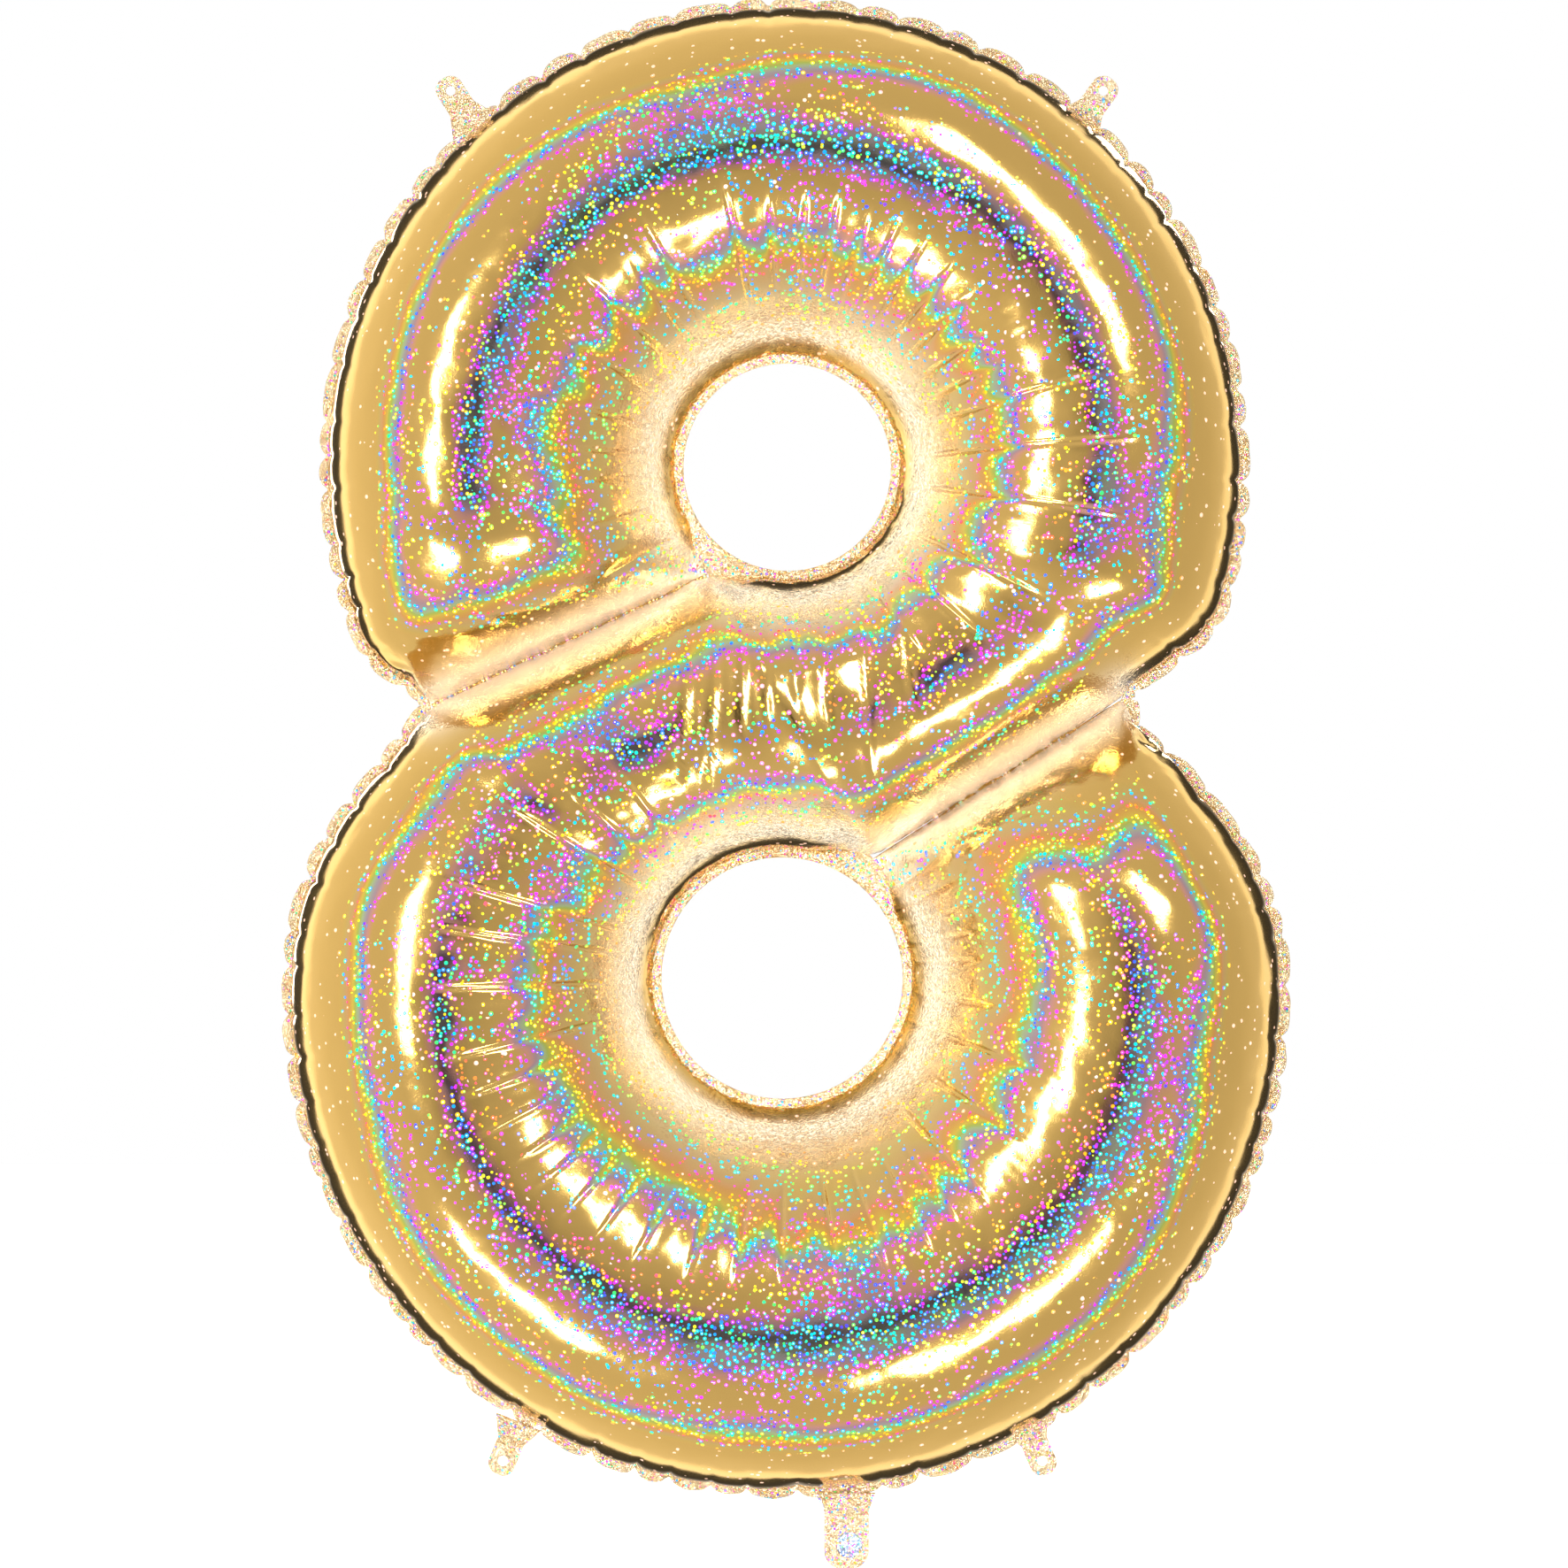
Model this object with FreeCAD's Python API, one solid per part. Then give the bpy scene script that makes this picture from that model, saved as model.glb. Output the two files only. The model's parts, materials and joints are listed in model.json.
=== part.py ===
"""A foil number balloon in the shape of an 8, 40-inch class, inflated.

Two shaped panels of metallised film are heat-sealed together. The seal runs round the outline,
round both holes, and in from each side of the waist, so the gas space is one long tube that bends
like an S: round the upper loop, down across the middle, and round the lower loop.

Millimetres. X is right, Z is up and the front faces -Y. The panels meet in the plane y = 0.
The origin is half-way between the two top hanging holes.
"""
import FreeCAD, Part
import math
import os

Vector = FreeCAD.Vector

# ---------------------------------------------------------------- the figure, in the plane y = 0
TOP_HOLE_SPACING = 444.0             # of the two upper hanging holes
UPPER_TAB_STANDOFF = 29.987          # from the film's edge out to the upper left hanging hole
UPPER_CENTRE_X = 5.5
UPPER_RADIUS = 311.0
LOWER_CENTRE_X = 6.5
LOWER_RADIUS = 337.5
LOOP_OVERLAP = 286.0                 # how far the two loops' circles run into each other
LEFT_NOTCH_INSET = (27.41, -5.61)    # from where the two circles cross to where a seam ends
RIGHT_NOTCH_INSET = (-39.88, -2.89)
UPPER_LEFT_SHOULDER = 12.0           # degrees over which the outline pulls in towards a notch
UPPER_RIGHT_SHOULDER = 17.0
LOWER_LEFT_SHOULDER = 34.0
LOWER_RIGHT_SHOULDER = 38.0

UPPER_HOLE_SHIFT = (1.5, -2.0)       # from the middle of its loop
UPPER_HOLE_RADIUS = 77.0             # to the film; the seal ring is inside this
LOWER_HOLE_SHIFT = (-3.0, 13.0)
LOWER_HOLE_RADIUS = 88.5
UPPER_SEAM_ANGLE = 233.7             # degrees from +X, where the left seam meets the upper hole
LOWER_SEAM_ANGLE = 53.2              # where the right seam meets the lower hole
HOLE_FLARE = 13.5                    # how much the film draws back from a hole at its seam
HOLE_FLARE_SPAN = 26.0               # degrees

# ---------------------------------------------------------------- the inflated tube
TUBE_HALF_DEPTH = 93.0
TUBE_SKEW = 0.09                     # the crown lies nearer the outside of each bend
END_CAP = 112.0                      # length over which the tube closes down onto a waist seam
FILM_WALL = 1.0
FILM_GAP = 0.1                       # between the front and the back panel, inside the seal

# ---------------------------------------------------------------- the heat seals
SEAL_WIDTH = 6.5
SEAL_THICKNESS = 1.2
WAIST_SEAM_WIDTH = 5.0
SEAL_CLEARANCE = 1.25                # a seal keeps this clear of the film's steep wall
SEAM_CLEARANCE = 1.1

# ---------------------------------------------------------------- hanging tabs
TAB_WIDTH = 19.0
TAB_THICKNESS = 1.0
TAB_HOLE_RADIUS = 3.3
TAB_FOLD_REACH = 15.0                # hole centre to fold line
TAB_TIP_REACH = 10.0                 # hole centre to the round end
TAB_PAD_EXTRA = 8.0                  # the seal widens under each tab by this much, each side
TAB_PAD_DEPTH = 22.0
BOTTOM_HOLE_SPACING = 367.0
BOTTOM_HOLE_MIDDLE_X = -3.0
LOWER_TAB_STANDOFF = 32.35           # from the film's edge out to the lower left hanging hole
TAB_LEANS = {"upper_left": 123.0, "upper_right": 54.0, "lower_left": 248.0, "lower_right": 293.0}

# ---------------------------------------------------------------- filling tail and valve
TAIL_X = 47.3
TAIL_WIDTH = 30.7
TAIL_LENGTH = 45.5                   # from its fold line to its round end
TAIL_CORNER_RADIUS = 12.0
TAIL_PLY = 0.6
TAIL_GAP = 0.6                       # the pocket between the two plies
TAIL_EDGE_SEAL = 4.0
INLET_RADIUS = 8.8
INLET_OFFSET = 2.0                   # to the right of the tail's middle
INLET_DROP = 29.5                    # below the fold line
NECK_CHANNEL_WIDTH = 12.0
NECK_DROP = 0.6                      # how far the neck stands out past the seal
VALVE_INSET = 4.5                    # from the film's edge to the root of the valve films
VALVE_WIDTH = 26.0
VALVE_LENGTH = 120.0
VALVE_FILM = 0.4
VALVE_GAP = 0.5

FOLD_CLEARANCE = 0.3                 # between a folding piece and what it folds on

SECTION_POINTS = 12                  # spans across the tube in each film surface
STATION_STEP = 26.0                  # spacing of the sections along the tube
CAP_SPANS = 3                        # sections over which an end of the tube closes
CORNER_WIDENING = 1.4                # the tube's corners at a hole, in seam widths
LENGTH_STEPS = 24                    # straight pieces that a part of the tube is measured by
CURVE_STEP = 3                       # degrees between the points of a closed curve


def bearing(centre, point):
    """Angle in degrees from +X of a point seen from a centre."""
    return math.degrees(math.atan2(point[1] - centre[1], point[0] - centre[0]))


def distance(first, second):
    return math.hypot(second[0] - first[0], second[1] - first[1])


def at_angle(centre, radius, angle):
    turn = math.radians(angle)
    return (centre[0] + radius * math.cos(turn), centre[1] + radius * math.sin(turn))


def fade(share):
    """1 at share 0, 0 from share 1 on, level at both ends."""
    share = min(abs(share), 1.0)
    return 1.0 - share * share * (3.0 - 2.0 * share)


def turn_between(first, second):
    """The smaller angle between two bearings, in degrees."""
    return abs((first - second + 180.0) % 360.0 - 180.0)


def circle_crossing(first, first_radius, second, second_radius, side):
    """Where two circles cross, on the left (side -1) or the right (side +1)."""
    apart = distance(first, second)
    along = (first_radius ** 2 - second_radius ** 2 + apart ** 2) / (2 * apart)
    aside = side * math.sqrt(first_radius ** 2 - along ** 2)
    way = ((second[0] - first[0]) / apart, (second[1] - first[1]) / apart)
    return (first[0] + way[0] * along - way[1] * aside,
            first[1] + way[1] * along + way[0] * aside)


def moved(point, shift):
    return (point[0] + shift[0], point[1] + shift[1])


def drop_to_hole(radius, standoff, aside):
    """Height between a loop's middle and a hanging hole that stands off its edge."""
    return math.sqrt((radius + standoff) ** 2 - aside ** 2)


UPPER_CENTRE = (UPPER_CENTRE_X,
                -drop_to_hole(UPPER_RADIUS, UPPER_TAB_STANDOFF,
                              TOP_HOLE_SPACING / 2 + UPPER_CENTRE_X))
LOWER_CENTRE = (LOWER_CENTRE_X, UPPER_CENTRE[1] - (UPPER_RADIUS + LOWER_RADIUS - LOOP_OVERLAP))
LEFT_NOTCH = moved(circle_crossing(UPPER_CENTRE, UPPER_RADIUS, LOWER_CENTRE, LOWER_RADIUS, -1),
                   LEFT_NOTCH_INSET)
RIGHT_NOTCH = moved(circle_crossing(UPPER_CENTRE, UPPER_RADIUS, LOWER_CENTRE, LOWER_RADIUS, 1),
                    RIGHT_NOTCH_INSET)
UPPER_HOLE_CENTRE = moved(UPPER_CENTRE, UPPER_HOLE_SHIFT)
LOWER_HOLE_CENTRE = moved(LOWER_CENTRE, LOWER_HOLE_SHIFT)
BOTTOM_HOLE_MIDDLE = (BOTTOM_HOLE_MIDDLE_X,
                      LOWER_CENTRE[1] - drop_to_hole(LOWER_RADIUS, LOWER_TAB_STANDOFF,
                                                     BOTTOM_HOLE_SPACING / 2
                                                     + LOWER_CENTRE_X - BOTTOM_HOLE_MIDDLE_X))


class Round:
    """A circle whose radius changes smoothly to reach given points, as a loop of the outline does."""

    def __init__(self, centre, radius, bumps):
        self.centre = centre
        self.radius = radius
        self.bumps = bumps           # (bearing, change of radius, span in degrees)

    def point(self, angle, extra=0.0):
        radius = self.radius + extra
        for middle, change, span in self.bumps:
            radius += change * fade(turn_between(angle, middle) / span)
        return at_angle(self.centre, radius, angle)


def loop_outline(centre, radius, left_span, right_span):
    bumps = []
    for notch, span in ((LEFT_NOTCH, left_span), (RIGHT_NOTCH, right_span)):
        bumps.append((bearing(centre, notch), distance(centre, notch) - radius, span))
    return Round(centre, radius, bumps)


UPPER_LOOP = loop_outline(UPPER_CENTRE, UPPER_RADIUS, UPPER_LEFT_SHOULDER, UPPER_RIGHT_SHOULDER)
LOWER_LOOP = loop_outline(LOWER_CENTRE, LOWER_RADIUS, LOWER_LEFT_SHOULDER, LOWER_RIGHT_SHOULDER)
UPPER_HOLE = Round(UPPER_HOLE_CENTRE, UPPER_HOLE_RADIUS,
                   [(UPPER_SEAM_ANGLE, HOLE_FLARE, HOLE_FLARE_SPAN)])
LOWER_HOLE = Round(LOWER_HOLE_CENTRE, LOWER_HOLE_RADIUS,
                   [(LOWER_SEAM_ANGLE, HOLE_FLARE, HOLE_FLARE_SPAN)])


def arc_route(curve, start, end):
    """Points along a round curve, as a function of the share from start to end."""
    return lambda share: curve.point(start + (end - start) * share)


def seam_route(outer, inner, side, inwards):
    """Points along one side of a waist seam. side is +1 or -1 across it, seen from outer to inner."""
    length = distance(outer, inner)
    across = (-(inner[1] - outer[1]) / length, (inner[0] - outer[0]) / length)
    shift = side * WAIST_SEAM_WIDTH / 2

    def route(share):
        along = share if inwards else 1.0 - share
        return (outer[0] + (inner[0] - outer[0]) * along + across[0] * shift,
                outer[1] + (inner[1] - outer[1]) * along + across[1] * shift)
    return route


def half_seam_turn(centre, point):
    """The angle that half a waist seam's width takes up at a point, seen from a centre."""
    return math.degrees(WAIST_SEAM_WIDTH / 2 / distance(centre, point))


def tube_parts():
    """The S in four parts: (edge A, edge B, length of the middle line), each edge by share 0 to 1."""
    seam_inner_left = UPPER_HOLE.point(UPPER_SEAM_ANGLE)
    seam_inner_right = LOWER_HOLE.point(LOWER_SEAM_ANGLE)
    notch_turn_up = half_seam_turn(UPPER_CENTRE, LEFT_NOTCH)
    notch_turn_down = half_seam_turn(LOWER_CENTRE, LEFT_NOTCH)
    corner_turn_up = CORNER_WIDENING * half_seam_turn(UPPER_HOLE_CENTRE, seam_inner_left)
    corner_turn_down = CORNER_WIDENING * half_seam_turn(LOWER_HOLE_CENTRE, seam_inner_right)
    facing_right = bearing(UPPER_HOLE_CENTRE, RIGHT_NOTCH)
    facing_left = bearing(LOWER_HOLE_CENTRE, LEFT_NOTCH)

    upper_start = bearing(UPPER_CENTRE, LEFT_NOTCH) % 360.0 - notch_turn_up
    upper_end = bearing(UPPER_CENTRE, RIGHT_NOTCH) + notch_turn_up
    lower_start = bearing(LOWER_CENTRE, LEFT_NOTCH) + notch_turn_down
    lower_end = bearing(LOWER_CENTRE, RIGHT_NOTCH) + 360.0 - notch_turn_down

    edges = [
        (arc_route(UPPER_LOOP, upper_start, upper_end),
         arc_route(UPPER_HOLE, UPPER_SEAM_ANGLE - corner_turn_up, facing_right)),
        (seam_route(RIGHT_NOTCH, seam_inner_right, -1, True),
         arc_route(UPPER_HOLE, facing_right, UPPER_SEAM_ANGLE - 360.0 + corner_turn_up)),
        (arc_route(LOWER_HOLE, LOWER_SEAM_ANGLE + corner_turn_down, facing_left),
         seam_route(LEFT_NOTCH, seam_inner_left, -1, False)),
        (arc_route(LOWER_HOLE, facing_left, LOWER_SEAM_ANGLE + 360.0 - corner_turn_down),
         arc_route(LOWER_LOOP, lower_start, lower_end)),
    ]
    parts = []
    for edge_a, edge_b in edges:
        length = 0.0
        for step in range(LENGTH_STEPS):
            here = [edge(step / LENGTH_STEPS) for edge in (edge_a, edge_b)]
            there = [edge((step + 1) / LENGTH_STEPS) for edge in (edge_a, edge_b)]
            middle_here = ((here[0][0] + here[1][0]) / 2, (here[0][1] + here[1][1]) / 2)
            middle_there = ((there[0][0] + there[1][0]) / 2, (there[0][1] + there[1][1]) / 2)
            length += distance(middle_here, middle_there)
        parts.append((edge_a, edge_b, length))
    return parts


PARTS = tube_parts()
TUBE_LENGTH = sum(length for edge_a, edge_b, length in PARTS)


def tube_edges(along):
    """The two edge points of the section that lies a given length along the tube."""
    for edge_a, edge_b, length in PARTS:
        if along <= length or edge_a is PARTS[-1][0]:
            share = min(max(along / length, 0.0), 1.0)
            return edge_a(share), edge_b(share)
        along -= length


def stations():
    """Lengths along the tube at which it is sectioned, closer together where an end closes."""
    cap = [END_CAP * (1 - math.cos(math.pi / 2 * step / CAP_SPANS)) for step in range(CAP_SPANS)]
    middle = TUBE_LENGTH - 2 * END_CAP
    spans = int(round(middle / STATION_STEP))
    body = [END_CAP + middle * step / spans for step in range(spans + 1)]
    return cap + body + [TUBE_LENGTH - value for value in reversed(cap)]


def film_surface(inset):
    """The front face of the tube, drawn in by inset on every side, as one smooth surface."""
    grid = []
    for along in stations():
        share_along = along / TUBE_LENGTH
        edge_a, edge_b = tube_edges(inset + (TUBE_LENGTH - 2 * inset) * share_along)
        width = distance(edge_a, edge_b)
        from_end = min(along, TUBE_LENGTH - along)
        closing = math.sqrt(max(0.0, 1.0 - (1.0 - min(from_end / END_CAP, 1.0)) ** 2))
        skew = TUBE_SKEW * math.cos(math.pi * share_along)
        row = []
        for step in range(SECTION_POINTS + 1):
            turn = math.pi * step / SECTION_POINTS
            share = (1 - math.cos(turn)) / 2 - skew * math.sin(turn) ** 2
            share = inset / width + share * (1 - 2 * inset / width)
            height = (TUBE_HALF_DEPTH - inset) * closing * math.sin(turn)
            row.append(Vector(edge_a[0] + (edge_b[0] - edge_a[0]) * share,
                              -height,
                              edge_a[1] + (edge_b[1] - edge_a[1]) * share))
        grid.append(row)
    surface = Part.BSplineSurface()
    surface.interpolate(grid)
    return surface.toShape()


def film_panel():
    """The front panel: a shell of even wall that meets the back panel in the plane y = 0."""
    outside = film_surface(0.0)
    inside = film_surface(FILM_WALL)
    same_way = 1
    rim = [Part.makeRuledSurface(outer, inner, same_way)
           for outer, inner in zip(outside.Edges, inside.Edges)]
    shell = Part.makeShell([outside, inside] + rim)
    shell.sewShape()
    solid = Part.Solid(shell)
    if solid.Volume < 0:
        solid.reverse()
    solid.translate(Vector(0, -FILM_GAP / 2, 0))
    return solid


def flat_piece(wire, thickness):
    """A flat plate of a closed outline in y = 0, with its thickness shared front and back."""
    face = Part.Face(wire)
    face.translate(Vector(0, -thickness / 2, 0))
    return face.extrude(Vector(0, thickness, 0))


def closed_curve(curve, extra):
    """A closed smooth wire through points of a round curve, offset by extra."""
    points = []
    for angle in range(0, 360, CURVE_STEP):
        x, z = curve.point(angle, extra)
        points.append(Vector(x, 0, z))
    spline = Part.BSplineCurve()
    spline.interpolate(Points=points, PeriodicFlag=True)
    return Part.Wire(spline.toShape())


def plate_box(low_x, high_x, low_z, high_z, half_depth):
    return Part.makeBox(high_x - low_x, 2 * half_depth, high_z - low_z,
                        Vector(low_x, -half_depth, low_z))


def disc(centre, radius, half_depth):
    return Part.makeCylinder(radius, 2 * half_depth, Vector(centre[0], -half_depth, centre[1]),
                             Vector(0, 1, 0))


def tab_frames():
    """Each hanging tab's hole centre and the bearing that it points along."""
    middle_x, middle_z = BOTTOM_HOLE_MIDDLE
    holes = {
        "upper_left": (-TOP_HOLE_SPACING / 2, 0.0),
        "upper_right": (TOP_HOLE_SPACING / 2, 0.0),
        "lower_left": (middle_x - BOTTOM_HOLE_SPACING / 2, middle_z),
        "lower_right": (middle_x + BOTTOM_HOLE_SPACING / 2, middle_z),
    }
    return [(name, holes[name], TAB_LEANS[name]) for name in holes]


def place_tab(shape, hole, lean):
    """Move a shape drawn with its tab pointing up (+Z), hole at the origin, to its place."""
    shape.rotate(Vector(0, 0, 0), Vector(0, -1, 0), lean - 90.0)
    shape.translate(Vector(hole[0], 0, hole[1]))
    return shape


def hanging_tab(hole, lean):
    """A tongue of welded film with a punched hole; its root is rounded about the fold line."""
    half = TAB_THICKNESS / 2
    straight_top = TAB_TIP_REACH - TAB_WIDTH / 2
    tongue = plate_box(-TAB_WIDTH / 2, TAB_WIDTH / 2, -TAB_FOLD_REACH, straight_top, half)
    tongue = tongue.fuse(disc((0, straight_top), TAB_WIDTH / 2, half))
    root = Part.makeCylinder(half, TAB_WIDTH, Vector(-TAB_WIDTH / 2, 0, -TAB_FOLD_REACH),
                             Vector(1, 0, 0))
    tongue = tongue.fuse(root).removeSplitter()
    tongue = tongue.cut(disc((0, 0), TAB_HOLE_RADIUS, TAB_THICKNESS))
    return place_tab(tongue, hole, lean)


def tab_pad(hole, lean):
    """The widened seal that a tab folds on, cut square at the fold line."""
    top = -TAB_FOLD_REACH - TAB_THICKNESS / 2 - FOLD_CLEARANCE
    foot = top - TAB_PAD_DEPTH
    half = TAB_WIDTH / 2
    corners = [(-half, top), (half, top), (half + TAB_PAD_EXTRA, foot),
               (-half - TAB_PAD_EXTRA, foot)]
    points = [Vector(x, 0, z) for x, z in corners]
    pad = flat_piece(Part.makePolygon(points + points[:1]), SEAL_THICKNESS)
    return place_tab(pad, hole, lean)


def film_edge_below(x):
    """Height of the lower loop's film edge straight below a given x."""
    return LOWER_CENTRE[1] - math.sqrt(LOWER_RADIUS ** 2 - (x - LOWER_CENTRE[0]) ** 2)


FILM_FOOT = film_edge_below(TAIL_X)
TAIL_HALF_DEPTH = TAIL_GAP / 2 + TAIL_PLY
NECK_FOOT = FILM_FOOT - SEAL_WIDTH - NECK_DROP
TAIL_FOLD_Z = NECK_FOOT - FOLD_CLEARANCE - TAIL_HALF_DEPTH
VALVE_ROOT = FILM_FOOT + VALVE_INSET
NECK_LEFT = TAIL_X - TAIL_WIDTH / 2
NECK_RIGHT = TAIL_X + TAIL_WIDTH / 2


def figure_plate(extra):
    """The whole figure as one plate, its outline moved out by extra."""
    upper = flat_piece(closed_curve(UPPER_LOOP, extra), SEAL_THICKNESS)
    lower = flat_piece(closed_curve(LOWER_LOOP, extra), SEAL_THICKNESS)
    return upper.fuse(lower)


def outer_seal():
    """The band outside the film's edge, with a pad under each tab and a gap at the neck."""
    plate = figure_plate(SEAL_WIDTH)
    for name, hole, lean in tab_frames():
        plate = plate.fuse(tab_pad(hole, lean))
    neck_room = plate_box(NECK_LEFT, NECK_RIGHT, NECK_FOOT - SEAL_WIDTH, FILM_FOOT + SEAL_WIDTH,
                          SEAL_THICKNESS)
    return largest_solid(plate.cut(figure_plate(SEAL_CLEARANCE)).cut(neck_room))


def hole_seal(curve):
    """The ring of fused film that is left inside a hole."""
    ring = flat_piece(closed_curve(curve, -SEAL_CLEARANCE), SEAL_THICKNESS)
    return ring.cut(disc(curve.centre, curve.radius - SEAL_WIDTH, SEAL_THICKNESS))


def waist_seam(notch, inner):
    """A straight strip of fused film from a hole's seal out to the waist."""
    length = distance(notch, inner)
    along = ((notch[0] - inner[0]) / length, (notch[1] - inner[1]) / length)
    half = WAIST_SEAM_WIDTH / 2 - SEAM_CLEARANCE
    corners = []
    for reach, side in ((SEAM_CLEARANCE, -half), (length, -half), (length, half),
                        (SEAM_CLEARANCE, half)):
        corners.append(Vector(inner[0] + along[0] * reach - along[1] * side, 0,
                              inner[1] + along[1] * reach + along[0] * side))
    return flat_piece(Part.makePolygon(corners + corners[:1]), SEAL_THICKNESS)


def seals():
    return {
        "outer_seal": outer_seal(),
        "upper_hole_seal": hole_seal(UPPER_HOLE),
        "lower_hole_seal": hole_seal(LOWER_HOLE),
        "left_waist_seam": waist_seam(LEFT_NOTCH, UPPER_HOLE.point(UPPER_SEAM_ANGLE)),
        "right_waist_seam": waist_seam(RIGHT_NOTCH, LOWER_HOLE.point(LOWER_SEAM_ANGLE)),
    }


def largest_solid(shape):
    return max(shape.Solids, key=lambda solid: solid.Volume)


def filling_neck():
    """Four films fused where the valve passes the seal, with the flat channel between them."""
    neck = plate_box(NECK_LEFT, NECK_RIGHT, NECK_FOOT, FILM_FOOT + SEAL_WIDTH, TAIL_HALF_DEPTH)
    neck = neck.cut(flat_piece(closed_curve(LOWER_LOOP, SEAL_CLEARANCE), 4 * TAIL_HALF_DEPTH))
    half = NECK_CHANNEL_WIDTH / 2
    channel = plate_box(TAIL_X - half, TAIL_X + half, NECK_FOOT - 1, FILM_FOOT + SEAL_WIDTH,
                        TAIL_GAP / 2)
    return neck.cut(channel)


def tail_blank(half_depth, inset):
    """The tail's outline as a plate: square at the fold, round corners at the foot."""
    foot = TAIL_FOLD_Z - TAIL_LENGTH + inset
    left = NECK_LEFT + inset
    right = NECK_RIGHT - inset
    blank = plate_box(left, right, foot, TAIL_FOLD_Z, half_depth)
    radius = TAIL_CORNER_RADIUS - inset
    corners = [edge for edge in blank.Edges
               if abs(edge.BoundBox.ZMax - foot) < 0.01 and edge.BoundBox.YLength > half_depth]
    return blank.makeFillet(radius, corners)


def half_space(front):
    """A large block on the front or the back of the plane through the pocket's back wall."""
    limit = 2 * TAIL_LENGTH
    low_y = -limit if front else TAIL_GAP / 2
    high_y = TAIL_GAP / 2 if front else limit
    return Part.makeBox(2 * limit, high_y - low_y, 2 * limit,
                        Vector(TAIL_X - limit, low_y, TAIL_FOLD_Z - limit))


def filling_tail():
    """The tail's front ply, with its edge seal and inlet hole, and its plain back ply."""
    body = tail_blank(TAIL_HALF_DEPTH, 0.0)
    root = Part.makeCylinder(TAIL_HALF_DEPTH, TAIL_WIDTH, Vector(NECK_LEFT, 0, TAIL_FOLD_Z),
                             Vector(1, 0, 0))
    body = body.fuse(root).removeSplitter()
    pocket = tail_blank(TAIL_GAP / 2, TAIL_EDGE_SEAL)
    half = NECK_CHANNEL_WIDTH / 2
    mouth = plate_box(TAIL_X - half, TAIL_X + half, TAIL_FOLD_Z - 1, TAIL_FOLD_Z + 2, TAIL_GAP / 2)
    body = body.cut(pocket).cut(mouth)
    inlet = Part.makeCylinder(INLET_RADIUS, 2 * TAIL_HALF_DEPTH,
                              Vector(TAIL_X + INLET_OFFSET, -2 * TAIL_HALF_DEPTH,
                                     TAIL_FOLD_Z - INLET_DROP), Vector(0, 1, 0))
    front = body.common(half_space(True)).cut(inlet)
    back = body.common(half_space(False))
    return largest_solid(front), largest_solid(back)


def valve_film(side):
    """One of the two limp films inside the balloon that gas presses flat against each other."""
    root_z = VALVE_ROOT
    middle_y = side * (VALVE_GAP + VALVE_FILM) / 2
    left = TAIL_X - VALVE_WIDTH / 2
    film = Part.makeBox(VALVE_WIDTH, VALVE_FILM, VALVE_LENGTH,
                        Vector(left, middle_y - VALVE_FILM / 2, root_z))
    root = Part.makeCylinder(VALVE_FILM / 2, VALVE_WIDTH, Vector(left, middle_y, root_z),
                             Vector(1, 0, 0))
    return film.fuse(root).removeSplitter()


def build():
    front_film = film_panel()
    back_film = front_film.mirror(Vector(0, 0, 0), Vector(0, 1, 0))
    nodes = {
        "front_film_panel": front_film,
        "back_film_panel": back_film,
        "filling_neck": filling_neck(),
        "front_valve_film": valve_film(-1),
        "back_valve_film": valve_film(1),
    }
    nodes.update(seals())
    for name, hole, lean in tab_frames():
        nodes[name + "_tab"] = hanging_tab(hole, lean)
    nodes["filling_tail_front"], nodes["filling_tail_back"] = filling_tail()
    return nodes


os.makedirs("parts", exist_ok=True)
for node, shape in build().items():
    shape.exportStep(os.path.join("parts", node + ".step"))
    box = shape.BoundBox
    print("%-22s solids %d valid %s volume %.1f  X %.1f..%.1f  Y %.1f..%.1f  Z %.1f..%.1f" % (
        node, len(shape.Solids), shape.isValid(), shape.Volume,
        box.XMin, box.XMax, box.YMin, box.YMax, box.ZMin, box.ZMax))
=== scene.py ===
# %% [markdown]
# # A foil number balloon
# The balloon is two sheets of thin metallised film, cut to the figure's outline and heat-sealed
# together. Gas pushes the sheets apart. Film doesn't stretch, so wherever the flat cut is too
# long for the round shape it gathers into creases: in fans round both holes, in fine puckers
# along the seals, and in little tucks all round the rim. The film also carries a very fine
# embossed pattern, which splits light into rainbows and breaks them up into glitter.
#
# The frame comes from the CAD model, and everything here is built around it, in metres. X is
# right, Z is up, and the front faces -Y.

# %% Load the frame
import json
import math

import bpy
import numpy as np
from mathutils import Matrix, Vector


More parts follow.
